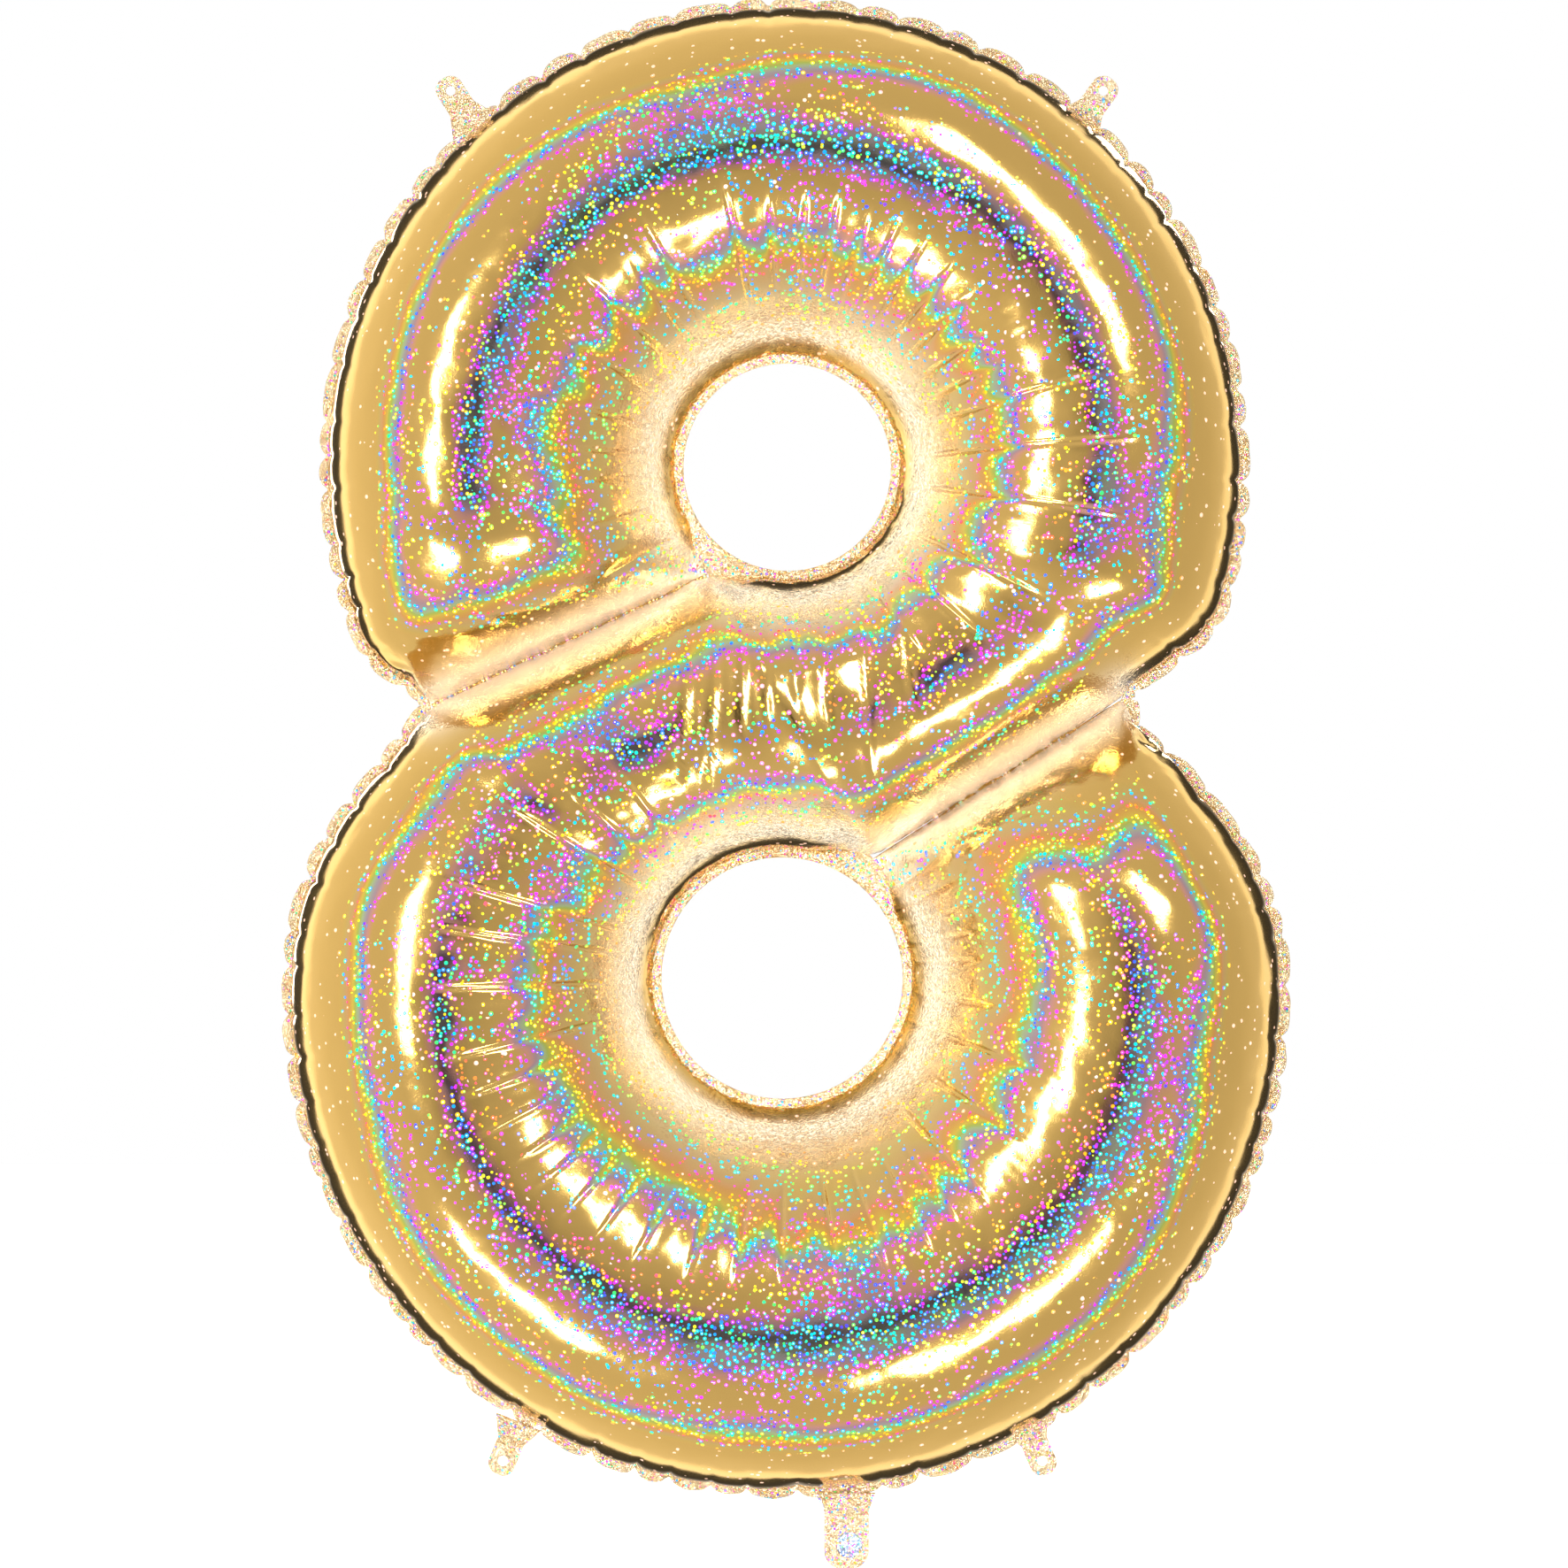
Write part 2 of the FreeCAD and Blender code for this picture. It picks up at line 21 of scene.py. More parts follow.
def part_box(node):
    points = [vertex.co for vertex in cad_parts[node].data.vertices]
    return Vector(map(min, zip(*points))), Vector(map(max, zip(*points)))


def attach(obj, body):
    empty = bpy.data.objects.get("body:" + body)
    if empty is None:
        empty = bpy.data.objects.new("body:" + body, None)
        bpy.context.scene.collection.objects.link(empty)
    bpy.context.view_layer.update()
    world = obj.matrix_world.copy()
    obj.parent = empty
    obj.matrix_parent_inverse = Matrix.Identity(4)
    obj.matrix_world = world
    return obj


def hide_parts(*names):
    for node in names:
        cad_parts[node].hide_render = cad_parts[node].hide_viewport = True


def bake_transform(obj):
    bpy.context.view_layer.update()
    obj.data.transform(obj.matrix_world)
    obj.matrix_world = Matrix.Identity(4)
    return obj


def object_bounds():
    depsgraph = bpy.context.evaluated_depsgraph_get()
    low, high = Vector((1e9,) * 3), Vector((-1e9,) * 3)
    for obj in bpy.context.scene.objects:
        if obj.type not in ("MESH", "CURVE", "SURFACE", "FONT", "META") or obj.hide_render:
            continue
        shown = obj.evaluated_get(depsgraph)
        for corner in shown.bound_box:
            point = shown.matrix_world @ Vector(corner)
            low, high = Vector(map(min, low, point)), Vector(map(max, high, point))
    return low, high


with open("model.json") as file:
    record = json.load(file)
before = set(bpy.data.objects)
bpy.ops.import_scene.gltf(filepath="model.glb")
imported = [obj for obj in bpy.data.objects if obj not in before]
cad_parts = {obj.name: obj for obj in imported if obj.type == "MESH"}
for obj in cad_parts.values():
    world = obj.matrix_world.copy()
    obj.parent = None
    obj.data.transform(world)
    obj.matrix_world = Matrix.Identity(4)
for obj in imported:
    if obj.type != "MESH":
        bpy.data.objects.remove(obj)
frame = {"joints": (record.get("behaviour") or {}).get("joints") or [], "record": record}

cad_low, cad_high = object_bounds()
mounts = {mount["name"]: mount for mount in frame["record"]["mounts"]}
joints = {joint["name"]: joint for joint in frame["joints"]}
bpy.ops.object.select_all(action="DESELECT")
print("frame", [round(value, 4) for value in (*cad_low, *cad_high)])

# %% [markdown]
# ## The figure's outline
# The gas space is one long tube that bends like an S. It starts at the left waist seam, runs
# round the upper loop, crosses down the middle, and runs round the lower loop to the right
# waist seam. Two edges bound it: an outer one and an inner one. Both are circles that bulge or
# draw in smoothly near a few bearings, and the middles of the two holes come from the frame.

# %% The loops, the holes and the two waist seams
SEAL_WIDTH = 0.0065


def at(mount):
    x, _, z = mounts[mount]["pos_m"]
    return np.array([x, z])


def radius_of(mount):
    return mounts[mount]["dims"]["r_mm"] / 1000


UPPER_HOLE = at("upper_hole")
LOWER_HOLE = at("lower_hole")
UPPER_LOOP = UPPER_HOLE + (-0.0015, 0.002)
LOWER_LOOP = LOWER_HOLE + (0.003, -0.013)
UPPER_RADIUS = 0.311
LOWER_RADIUS = 0.3375
LEFT_NOTCH = np.array([-0.2348, -0.4179])
RIGHT_NOTCH = np.array([0.2342, -0.4137])
UPPER_SEAM_BEARING = 233.7
LOWER_SEAM_BEARING = 53.2
# how far the film draws back at a seam, and over how many degrees
HOLE_FLARE = (0.0135, 26.0)
SEAM_GAP = 0.0016


def smooth(share):
    share = np.clip(share, 0.0, 1.0)
    return share * share * (3 - 2 * share)


def bearing(centre, point):
    return math.degrees(math.atan2(point[1] - centre[1], point[0] - centre[0]))


def between(first, second):
    """The turn from one bearing to another, from -180 to 180."""
    return (np.asarray(first) - second + 180) % 360 - 180


def round_curve(centre, radius, bumps):
    """A circle as a function of bearing. Each bump is (bearing, change of radius, degrees)."""
    def point(angle):
        angle = np.asarray(angle, float)
        reach = radius + sum(change * (1 - smooth(abs(between(angle, middle)) / span))
                             for middle, change, span in bumps)
        return np.stack([centre[0] + reach * np.cos(np.radians(angle)),
                         centre[1] + reach * np.sin(np.radians(angle))], -1)
    return point


def loop_curve(centre, radius, left_span, right_span):
    bumps = [(bearing(centre, notch), np.hypot(*(notch - centre)) - radius, span)
             for notch, span in ((LEFT_NOTCH, left_span), (RIGHT_NOTCH, right_span))]
    return round_curve(centre, radius, bumps)


upper_outline = loop_curve(UPPER_LOOP, UPPER_RADIUS, 12, 17)
lower_outline = loop_curve(LOWER_LOOP, LOWER_RADIUS, 34, 38)
upper_rim = round_curve(UPPER_HOLE, radius_of("upper_hole") + SEAL_WIDTH,
                        [(UPPER_SEAM_BEARING, *HOLE_FLARE)])
lower_rim = round_curve(LOWER_HOLE, radius_of("lower_hole") + SEAL_WIDTH,
                        [(LOWER_SEAM_BEARING, *HOLE_FLARE)])
LEFT_SEAM_END = upper_rim(UPPER_SEAM_BEARING)
RIGHT_SEAM_END = lower_rim(LOWER_SEAM_BEARING)
film_low, film_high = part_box("front_film_panel")
print("loop tops differ from the frame by",
      round(upper_outline(90)[1] - film_high.z, 4), "and",
      round(lower_outline(270)[1] - film_low.z, 4))

# %% The tube's two edges, in four parts


def arc(curve, start, end):
    return lambda share: curve(start + (end - start) * share)


def seam_side(notch, inner, inwards):
    """One side of a waist seam, shifted off its middle line."""
    way = inner - notch
    across = np.array([-way[1], way[0]]) / np.hypot(*way)

    def point(share):
        along = share if inwards else 1 - share
        return notch + np.multiply.outer(along, way) - across * SEAM_GAP / 2
    return point


def half_gap(centre, point):
    return math.degrees(SEAM_GAP / 2 / np.hypot(*(point - centre)))


CORNER = 1.4                            # the tube's corners at a hole, in seam gaps
upper_corner = CORNER * half_gap(UPPER_HOLE, LEFT_SEAM_END)
lower_corner = CORNER * half_gap(LOWER_HOLE, RIGHT_SEAM_END)
facing_right = bearing(UPPER_HOLE, RIGHT_NOTCH)
facing_left = bearing(LOWER_HOLE, LEFT_NOTCH)
PARTS = [
    (arc(upper_outline, bearing(UPPER_LOOP, LEFT_NOTCH) % 360 - half_gap(UPPER_LOOP, LEFT_NOTCH),
         bearing(UPPER_LOOP, RIGHT_NOTCH) + half_gap(UPPER_LOOP, LEFT_NOTCH)),
     arc(upper_rim, UPPER_SEAM_BEARING - upper_corner, facing_right)),
    (seam_side(RIGHT_NOTCH, RIGHT_SEAM_END, True),
     arc(upper_rim, facing_right, UPPER_SEAM_BEARING - 360 + upper_corner)),
    (arc(lower_rim, LOWER_SEAM_BEARING + lower_corner, facing_left),
     seam_side(LEFT_NOTCH, LEFT_SEAM_END, False)),
    (arc(lower_rim, facing_left, LOWER_SEAM_BEARING + 360 - lower_corner),
     arc(lower_outline, bearing(LOWER_LOOP, LEFT_NOTCH) + half_gap(LOWER_LOOP, LEFT_NOTCH),
         bearing(LOWER_LOOP, RIGHT_NOTCH) + 360 - half_gap(LOWER_LOOP, LEFT_NOTCH))),
]


def path_length(points):
    return np.hypot(*np.diff(points, axis=0).T).sum()


SHARES = np.linspace(0, 1, 49)
LENGTHS = [path_length((first(SHARES) + second(SHARES)) / 2) for first, second in PARTS]
ENDS = np.cumsum(LENGTHS)               # where each part of the tube ends
TUBE_LENGTH = ENDS[-1]


def edges_at(along):
    part = min(int(np.searchsorted(ENDS, along)), 3)
    share = (along - ENDS[part] + LENGTHS[part]) / LENGTHS[part]
    return PARTS[part][0](share), PARTS[part][1](share)


print("tube parts", np.round(LENGTHS, 3), "whole", round(TUBE_LENGTH, 3))

# %% [markdown]
# ## The film's section
# A ring made of film that can't stretch lengthways but gathers freely round the ring has its
# own section: full and round outside, steep inside, as a foil ring balloon shows. It is worked
# out by following the film from the outside in with even tension, and it tells how much wider
# the flat cut is than the inflated tube. The band across the middle is straight, so its section
# is an even oval, and the two shapes melt into each other along the tube.

# %% Work out the two sections
ACROSS = 44                             # spans across the tube while it is simulated
RING_RATIO = 0.25                       # a hole's radius over its loop's radius
OVAL_HEIGHT = 0.42
RING_POINTS, OVAL_POINTS = 4000, 2000   # how finely the sections are worked out


def ring_section(start):
    curve = 2 * (math.sin(start) + 1) / (1 - RING_RATIO ** 2)
    turn = np.linspace(start, -math.pi / 2, RING_POINTS)
    squared = RING_RATIO ** 2 + 2 * (math.sin(start) - np.sin(turn)) / curve
    reach = np.sqrt(np.maximum(squared, 1e-12))
    step = (turn[0] - turn[1]) / (curve * reach)
    height = np.concatenate([[0], np.cumsum((np.sin(turn) * step)[1:])])
    length = np.concatenate([[0], np.cumsum(step[1:])])
    return (1 - reach) / (1 - RING_RATIO), height / (1 - RING_RATIO), length / (1 - RING_RATIO)


low, high = 0.2, math.pi / 2
for _ in range(50):
    middle = (low + high) / 2
    if ring_section(middle)[1][-1] > 0:
        high = middle
    else:
        low = middle
ring_share, ring_height, ring_length = ring_section((low + high) / 2)
oval_turn = np.linspace(0, math.pi, OVAL_POINTS)
oval_share, oval_height = (1 - np.cos(oval_turn)) / 2, OVAL_HEIGHT * np.sin(oval_turn)
oval_length = np.concatenate([[0], np.cumsum(np.hypot(np.diff(oval_share), np.diff(oval_height)))])
RING_CUT, OVAL_CUT = ring_length[-1], oval_length[-1]
across = np.linspace(0, 1, ACROSS + 1)
from_outside = (RING_CUT - ring_length)[::-1] / RING_CUT
ring = [np.interp(across, from_outside, values[::-1]) for values in (ring_share, ring_height)]
oval = [np.interp(across, oval_length / OVAL_CUT, values) for values in (oval_share, oval_height)]
print("flat cut over inflated width: loops", round(RING_CUT, 3), "band", round(OVAL_CUT, 3))

# %% Lay out the tube, inflated and flat
STATIONS = 480
CAP = 0.112                             # length over which an end closes down onto its seam
CAP_SLACK = 0.045                       # how much further the flat cut runs on there
HEIGHT_SHARE, HEIGHT_LIMIT = 0.375, 0.095
SWING_ROOM = 0.35                       # share of the upper loop over which the section changes


def lay_tube(count):
    """The front sheet as (stations, across, 3): where gas puts it, and how it lies flat."""
    full = np.zeros((count + 1, ACROSS + 1, 3))
    flat = np.zeros_like(full)
    for row, along in enumerate(np.linspace(0, TUBE_LENGTH, count + 1)):
        first, second = edges_at(along)
        width = np.hypot(*(second - first))
        swing = np.clip((along - ENDS[1]) / (LENGTHS[1] + SWING_ROOM * LENGTHS[0]), -1, 1)
        ringlike = float(smooth(abs(swing)))
        share, height = ring
        if swing > 0:
            share, height = 1 - share[::-1], height[::-1]
        share = ringlike * share + (1 - ringlike) * oval[0]
        height = ringlike * height + (1 - ringlike) * oval[1]
        from_end = min(along, TUBE_LENGTH - along)
        closing = math.sqrt(1 - (1 - min(from_end / CAP, 1)) ** 2)
        height = height / height.max() * min(width * HEIGHT_SHARE, HEIGHT_LIMIT) * closing
        full[row, :, 0], full[row, :, 2] = (first + np.multiply.outer(share, second - first)).T
        full[row, :, 1] = -height
        slack = CAP_SLACK * (1 - float(smooth(from_end / CAP)))
        first, second = edges_at(along - slack if along < TUBE_LENGTH / 2 else along + slack)
        cut = ringlike * RING_CUT + (1 - ringlike) * OVAL_CUT
        cut = cut * width / np.hypot(*(second - first))
        anchor = first + (second - first) * (0.5 - 0.5 * np.sign(swing) * ringlike)
        line = first + np.multiply.outer(across, second - first)
        flat[row, :, 0], flat[row, :, 2] = (anchor + (line - anchor) * cut).T
    return full, flat


full, flat = lay_tube(STATIONS)
print("front sheet", full.shape, "depth", round(-full[..., 1].min(), 4))

# %% [markdown]
# ## Where the film creases
# Gas alone would put creases at random places, so small dents start the main ones where a real
# balloon of this shape has them: fans round each hole, and a few lines down the middle band.
# Each crease is a bearing and two distances from the middle of its hole, in degrees and
# millimetres, and each band crease is a line between two places.

# %% The crease plan
UPPER_CREASES = [(138, 100, 180), (151, 103, 162), (165, 97, 160), (176, 96, 140), (185, 96, 130),
                 (128, 112, 158), (121, 118, 182), (103, 114, 184), (94, 120, 170), (86, 118, 172),
                 (79, 118, 176), (72, 120, 170), (65, 118, 175), (58, 118, 168), (50, 112, 168),
                 (42, 110, 160), (33, 108, 150), (25, 105, 150), (16, 104, 208), (4, 92, 222),
                 (-9, 88, 220), (-28, 90, 182), (-42, 88, 165), (-55, 88, 150), (198, 100, 140),
                 (212, 100, 135)]
LOWER_CREASES = [(138, 108, 182), (147, 110, 210), (128, 108, 170), (163, 112, 232),
                 (171, 118, 226), (181, 120, 228), (193, 132, 220), (200, 154, 216),
                 (207, 168, 216), (214, 160, 205), (220, 158, 205), (227, 160, 205),
                 (234, 160, 205), (242, 165, 205), (252, 160, 200), (261, 150, 195),
                 (270, 144, 194), (281, 138, 192), (290, 140, 196), (299, 142, 196),
                 (306, 146, 190), (313, 115, 190), (327, 104, 184), (341, 98, 176),
                 (353, 98, 142), (6, 96, 130), (14, 98, 132), (22, 98, 132), (30, 98, 128),
                 (38, 98, 128)]
BAND_CREASES = [((56, -322), (64, -466)), ((-40, -366), (-48, -512)), ((-6, -345), (-7, -428)),
                ((-22, -352), (-24, -436)), ((12, -345), (13, -420)), ((30, -342), (34, -432)),
                ((-58, -372), (-66, -470)), ((82, -330), (92, -420))]


def fan(points, creases, centre, width):
    """How deep in a crease each point is, from 0 to 1."""
    x, z = (points[..., 0] - centre[0]) * 1000, (points[..., 2] - centre[1]) * 1000
    reach, turn = np.hypot(x, z), np.degrees(np.arctan2(z, x))
    depth = np.zeros_like(reach)
    for middle, start, end in creases:
        aside = np.radians(between(turn, middle)) * reach
        window = smooth((reach - start + 12) / 24) * smooth((end + 14 - reach) / 28)
        depth = np.maximum(depth, np.exp(-(aside / width) ** 2) * window)
    return depth


def lines(points, creases, width):
    depth = np.zeros(points.shape[:-1])
    for start, end in creases:
        start, way = np.array(start), np.subtract(end, start)
        length = np.hypot(*way)
        way = way / length
        x, z = points[..., 0] * 1000 - start[0], points[..., 2] * 1000 - start[1]
        along = x * way[0] + z * way[1]
        aside = x * way[1] - z * way[0]
        window = smooth((along + 8) / 20) * smooth((length + 8 - along) / 20)
        depth = np.maximum(depth, np.exp(-(aside / width) ** 2) * window)
    return depth


def crease_depth(points, width):
    """The whole plan over a sheet laid out as (stations, across, 3)."""
    along = np.linspace(0, TUBE_LENGTH, len(points))[:, None]
    upper = 1 - smooth((along - ENDS[0] - 0.5 * LENGTHS[1]) / (0.4 * LENGTHS[1]))
    lower = smooth((along - ENDS[1] - 0.1 * LENGTHS[2]) / (0.4 * LENGTHS[2]))
    band = smooth((along - ENDS[0]) / 0.05) * smooth((ENDS[2] - along) / 0.05)
    return np.maximum.reduce([fan(points, UPPER_CREASES, UPPER_HOLE, width) * upper,
                              fan(points, LOWER_CREASES, LOWER_HOLE, width) * lower,
                              lines(points, BAND_CREASES, width) * band])


def sheet_normals(points):
    """Outward normals of a sheet that faces -Y."""
    normal = np.cross(np.gradient(points, axis=0), np.gradient(points, axis=1))
    normal /= np.linalg.norm(normal, axis=2)[..., None] + 1e-12
    return normal if normal[len(points) // 2, points.shape[1] // 2, 1] < 0 else -normal


DENT, DENT_WIDTH = 0.0022, 3.6          # metres deep, millimetres wide
dents = crease_depth(full, DENT_WIDTH)[..., None] * sheet_normals(full) * -DENT
print("creases", len(UPPER_CREASES) + len(LOWER_CREASES) + len(BAND_CREASES))

# %% [markdown]
# ## Inflate the film
# Blender's Cloth does the work. The front and back sheets and a narrow flange are one mesh. Its
# rest shape is the flat cut, it starts at the round shape with the dents, and pressure pushes it
# outwards for a few frames. The film can't stretch, so the spare length gathers into creases.
# The waist seams and the rims of the holes are pinned where the CAD puts them.

# %% Build the simulation mesh
MIRROR = np.array([1, -1, 1])
FLANGE_ROWS = 2


def quads_of(ids):
    """The faces of a grid of point numbers."""
    corners = [ids[:-1, :-1], ids[1:, :-1], ids[1:, 1:], ids[:-1, 1:]]
    return np.stack(corners, -1).reshape(-1, 4)


def balloon_mesh():
    rows, columns = full.shape[:2]
    front = np.arange(rows * columns).reshape(rows, columns)
    shared = np.zeros((rows, columns), bool)
    shared[[0, -1]] = shared[:, [0, -1]] = True
    back = np.where(shared, front, -1)
    back[~shared] = front.size + np.arange((~shared).sum())
    begin = np.concatenate([(full + dents).reshape(-1, 3), ((full + dents) * MIRROR)[~shared]])
    begin[front[shared], 1] = 0
    rest = np.concatenate([flat.reshape(-1, 3), flat[~shared]])
    rim = np.concatenate([front[:, 0], front[-1, 1:], front[-2::-1, -1], front[0, -2:0:-1]])
    ids, shapes = [rim], [begin, rest]
    middle = np.array([UPPER_LOOP[0], 0, UPPER_LOOP[1]])
    for step in range(1, FLANGE_ROWS + 1):
        for which, base in ((0, begin), (1, rest)):
            edge = base[rim]
            way = np.roll(edge, -1, 0) - np.roll(edge, 1, 0)
            way /= np.linalg.norm(way, axis=1)[:, None] + 1e-12
            out = np.stack([way[:, 2], 0 * way[:, 0], -way[:, 0]], 1)
            probe = rows // 8
            out *= np.sign(np.dot(out[probe], edge[probe] - middle))
            outer = edge + out * SEAL_WIDTH * step / FLANGE_ROWS
            shapes[which] = np.concatenate([shapes[which], outer])
        ids.append(len(begin) + (step - 1) * len(rim) + np.arange(len(rim)))
    quads = [quads_of(front), quads_of(back)]
    quads[0] = quads[0][:, ::-1] if sheet_is_backwards(begin, quads[0]) else quads[0]
    quads[1] = quads[1][:, ::-1] if not sheet_is_backwards(begin, quads[1]) else quads[1]
    strips = [np.stack([inner, np.roll(inner, -1), np.roll(outer, -1), outer], -1)
              for inner, outer in zip(ids, ids[1:])]
    return shapes[0], shapes[1], np.concatenate(quads + strips), front, back, ids


def sheet_is_backwards(points, quads):
    """True where a sheet's faces look to +Y."""
    one, two, three = (points[quads[:, corner]] for corner in range(3))
    return np.cross(two - one, three - one)[:, 1].mean() > 0


begin, rest, faces, front_ids, back_ids, flange_ids = balloon_mesh()
print("simulation mesh", len(begin), "points", len(faces), "faces")

# %% Inflate it
FRAMES = 16
PRESSURE = 8.0
NOISE = 0.0003
HOLE_HOLD = 0.0217                      # how far out from a hole the flange is held
SEAM_HOLD = 0.004                       # how far past its ends a waist seam is held


def inflate():
    """Runs the cloth and returns where every point ends up."""
    mesh = bpy.data.meshes.new("inflating")
    mesh.from_pydata(begin.tolist(), [], faces.tolist())
    body = bpy.data.objects.new("inflating", mesh)
    bpy.context.collection.objects.link(body)
    body.shape_key_add(name="Basis")
    cut = body.shape_key_add(name="cut")
    cut.data.foreach_set("co", rest.ravel())
    start = body.shape_key_add(name="start")
    shaken = begin + np.random.default_rng(5).normal(0, NOISE, begin.shape)
    start.data.foreach_set("co", shaken.ravel())
    start.value = 1.0
    film = body.vertex_groups.new(name="film")
    flange = np.concatenate(flange_ids)
    film.add(np.setdiff1d(np.arange(len(begin)), flange).tolist(), 1.0, "REPLACE")
    held = body.vertex_groups.new(name="held")
    place = begin[:, [0, 2]]
    by_hole = np.zeros(len(begin), bool)
    for centre, mount in ((UPPER_HOLE, "upper_hole"), (LOWER_HOLE, "lower_hole")):
        by_hole |= np.hypot(*(place - centre).T) < radius_of(mount) + HOLE_HOLD
    held.add(flange[by_hole[flange]].tolist(), 1.0, "REPLACE")
    along = np.linspace(0, TUBE_LENGTH, STATIONS + 1)
    seams = [front_ids[0], front_ids[-1],
             front_ids[(along >= ENDS[0] - SEAM_HOLD) & (along <= ENDS[1] + SEAM_HOLD), 0],
             front_ids[(along >= ENDS[1] - SEAM_HOLD) & (along <= ENDS[2] + SEAM_HOLD), -1]]
    held.add(np.unique(np.concatenate(seams)).tolist(), 1.0, "REPLACE")
    cloth = body.modifiers.new("Cloth", "CLOTH")
    settings = cloth.settings
    settings.quality = 6
    settings.mass = 0.02
    settings.air_damping = 2.0
    settings.tension_stiffness = settings.compression_stiffness = 40
    settings.shear_stiffness = 20
    settings.bending_stiffness = 0.05
    settings.tension_damping = settings.compression_damping = settings.shear_damping = 5
    settings.bending_damping = 0.5
    settings.use_pressure = True
    settings.uniform_pressure_force = PRESSURE
    settings.vertex_group_pressure = "film"
    settings.vertex_group_mass = "held"
    settings.rest_shape_key = cut
    settings.effector_weights.gravity = 0
    cloth.collision_settings.use_collision = False
    cloth.point_cache.frame_start, cloth.point_cache.frame_end = 1, FRAMES
    scene = bpy.context.scene
    scene.frame_start, scene.frame_end = 1, FRAMES
    for step in range(1, FRAMES + 1):
        scene.frame_set(step)
    shaped = body.evaluated_get(bpy.context.evaluated_depsgraph_get()).data
    points = np.zeros(len(begin) * 3)
    shaped.vertices.foreach_get("co", points)
    scene.frame_set(1)
    bpy.data.objects.remove(body)
    return points.reshape(-1, 3)


settled = inflate()
print("film box", settled.min(0).round(4), settled.max(0).round(4))

# %% [markdown]
# ## Finer film
# The simulation's larger shape is kept, but most of its short ripples are evened out, because
# they break up the highlights. The sheets are resampled on a finer grid, then the details are
# pressed in: sharp lines down the planned creases, corrugations along the waist seams, and the
# tucks round the rim, which also scallop the flange.

# %% Resample a sheet
FINE_STATIONS, FINE_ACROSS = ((1540, 60))
CALM = 0.88                             # share of the short ripples that is taken out
CALM_ROUNDS = 26
CALM_STEPS = (0.5, -0.52)               # smooth, then swell back, so the larger shape stays


def resample(grid, count, axis):
    grid = np.moveaxis(grid, axis, 0)
    last = len(grid) - 1
    place = np.linspace(0, last, count + 1)
    index = np.minimum(place.astype(int), last - 1)
    t = (place - index)[:, None, None]
    before, here, there, after = (grid[np.clip(index + step, 0, last)] for step in (-1, 0, 1, 2))
    made = 0.5 * (2 * here + (there - before) * t
                  + (2 * before - 5 * here + 4 * there - after) * t * t
                  + (3 * here - before - 3 * there + after) * t ** 3)
    return np.moveaxis(made, 0, axis)


def evened(grid):
    """A sheet with most of its ripples shorter than a few centimetres along the tube taken out."""
    calm = grid.copy()
    for _ in range(CALM_ROUNDS):
        for step in CALM_STEPS:
            calm[1:-1] += step * ((calm[:-2] + calm[2:]) / 2 - calm[1:-1])
    end = np.minimum(np.arange(len(grid)), np.arange(len(grid))[::-1])
    share = (smooth((end - 2) / 10) * CALM)[:, None, None]
    return grid * (1 - share) + calm * share


def finer(ids):
    return resample(resample(evened(settled[ids]), FINE_STATIONS, 0), FINE_ACROSS, 1)


front_sheet, back_sheet = finer(front_ids), finer(back_ids)
fine_along = np.linspace(0, TUBE_LENGTH, FINE_STATIONS + 1)
in_part = [(fine_along >= start) & (fine_along <= end)
           for start, end in zip(ENDS - LENGTHS, ENDS)]
print("fine sheets", front_sheet.shape)

# %% Press in the fine detail
TUCK_GAP = (0.021, 0.040)               # between neighbouring tucks round the rim
TUCK_DEPTH = (0.0012, 0.0034)
PUCKER_GAP = (0.0055, 0.0105)
PUCKER_HEIGHT = 0.0016
CREASE = (-0.0017, 1.7)                 # a crease's line: metres up, millimetres wide
SHOULDER = (0.0007, 4.5)                # the film that stands up beside it
TUCKS = {}                              # how deep the rim's tucks are, by part of the tube


def lengths_along(points):
    """Distance along a line of points, from its start."""
    steps = np.linalg.norm(np.diff(points, axis=0), axis=1)
    return np.concatenate([[0], np.cumsum(steps)])


def distance_in(line, end):
    """Distance along a line of points from one of its ends, 0 or -1."""
    return lengths_along(line) if end == 0 else lengths_along(line[::-1])[::-1]


def bumps_along(place, gap, rng):
    """Middles and strengths of bumps at uneven gaps, over a length."""
    middles = np.cumsum(rng.uniform(*gap, int(place[-1] / gap[0]) + 1))
    middles = middles[middles < place[-1]]
    return middles, rng.uniform(0.35, 1.0, len(middles))


def tuck_field(place, rng):
    """How far the rim is tucked in along its length, in metres, with sharp middles."""
    middles, strengths = bumps_along(place, TUCK_GAP, rng)
    depth = TUCK_DEPTH[0] + (TUCK_DEPTH[1] - TUCK_DEPTH[0]) * strengths
    field, line = np.zeros_like(place), np.zeros_like(place)
    for middle, deep in zip(middles, depth):
        field = np.maximum(field, deep * np.exp(-abs(place - middle) / 0.0042))
        for side in (0, *rng.uniform(-0.011, 0.011, 2)):
            line = np.maximum(line, deep * np.exp(-((place - middle - side) / 0.0021) ** 2)
                              * (1.0 if side == 0 else 0.45))
    return field, line


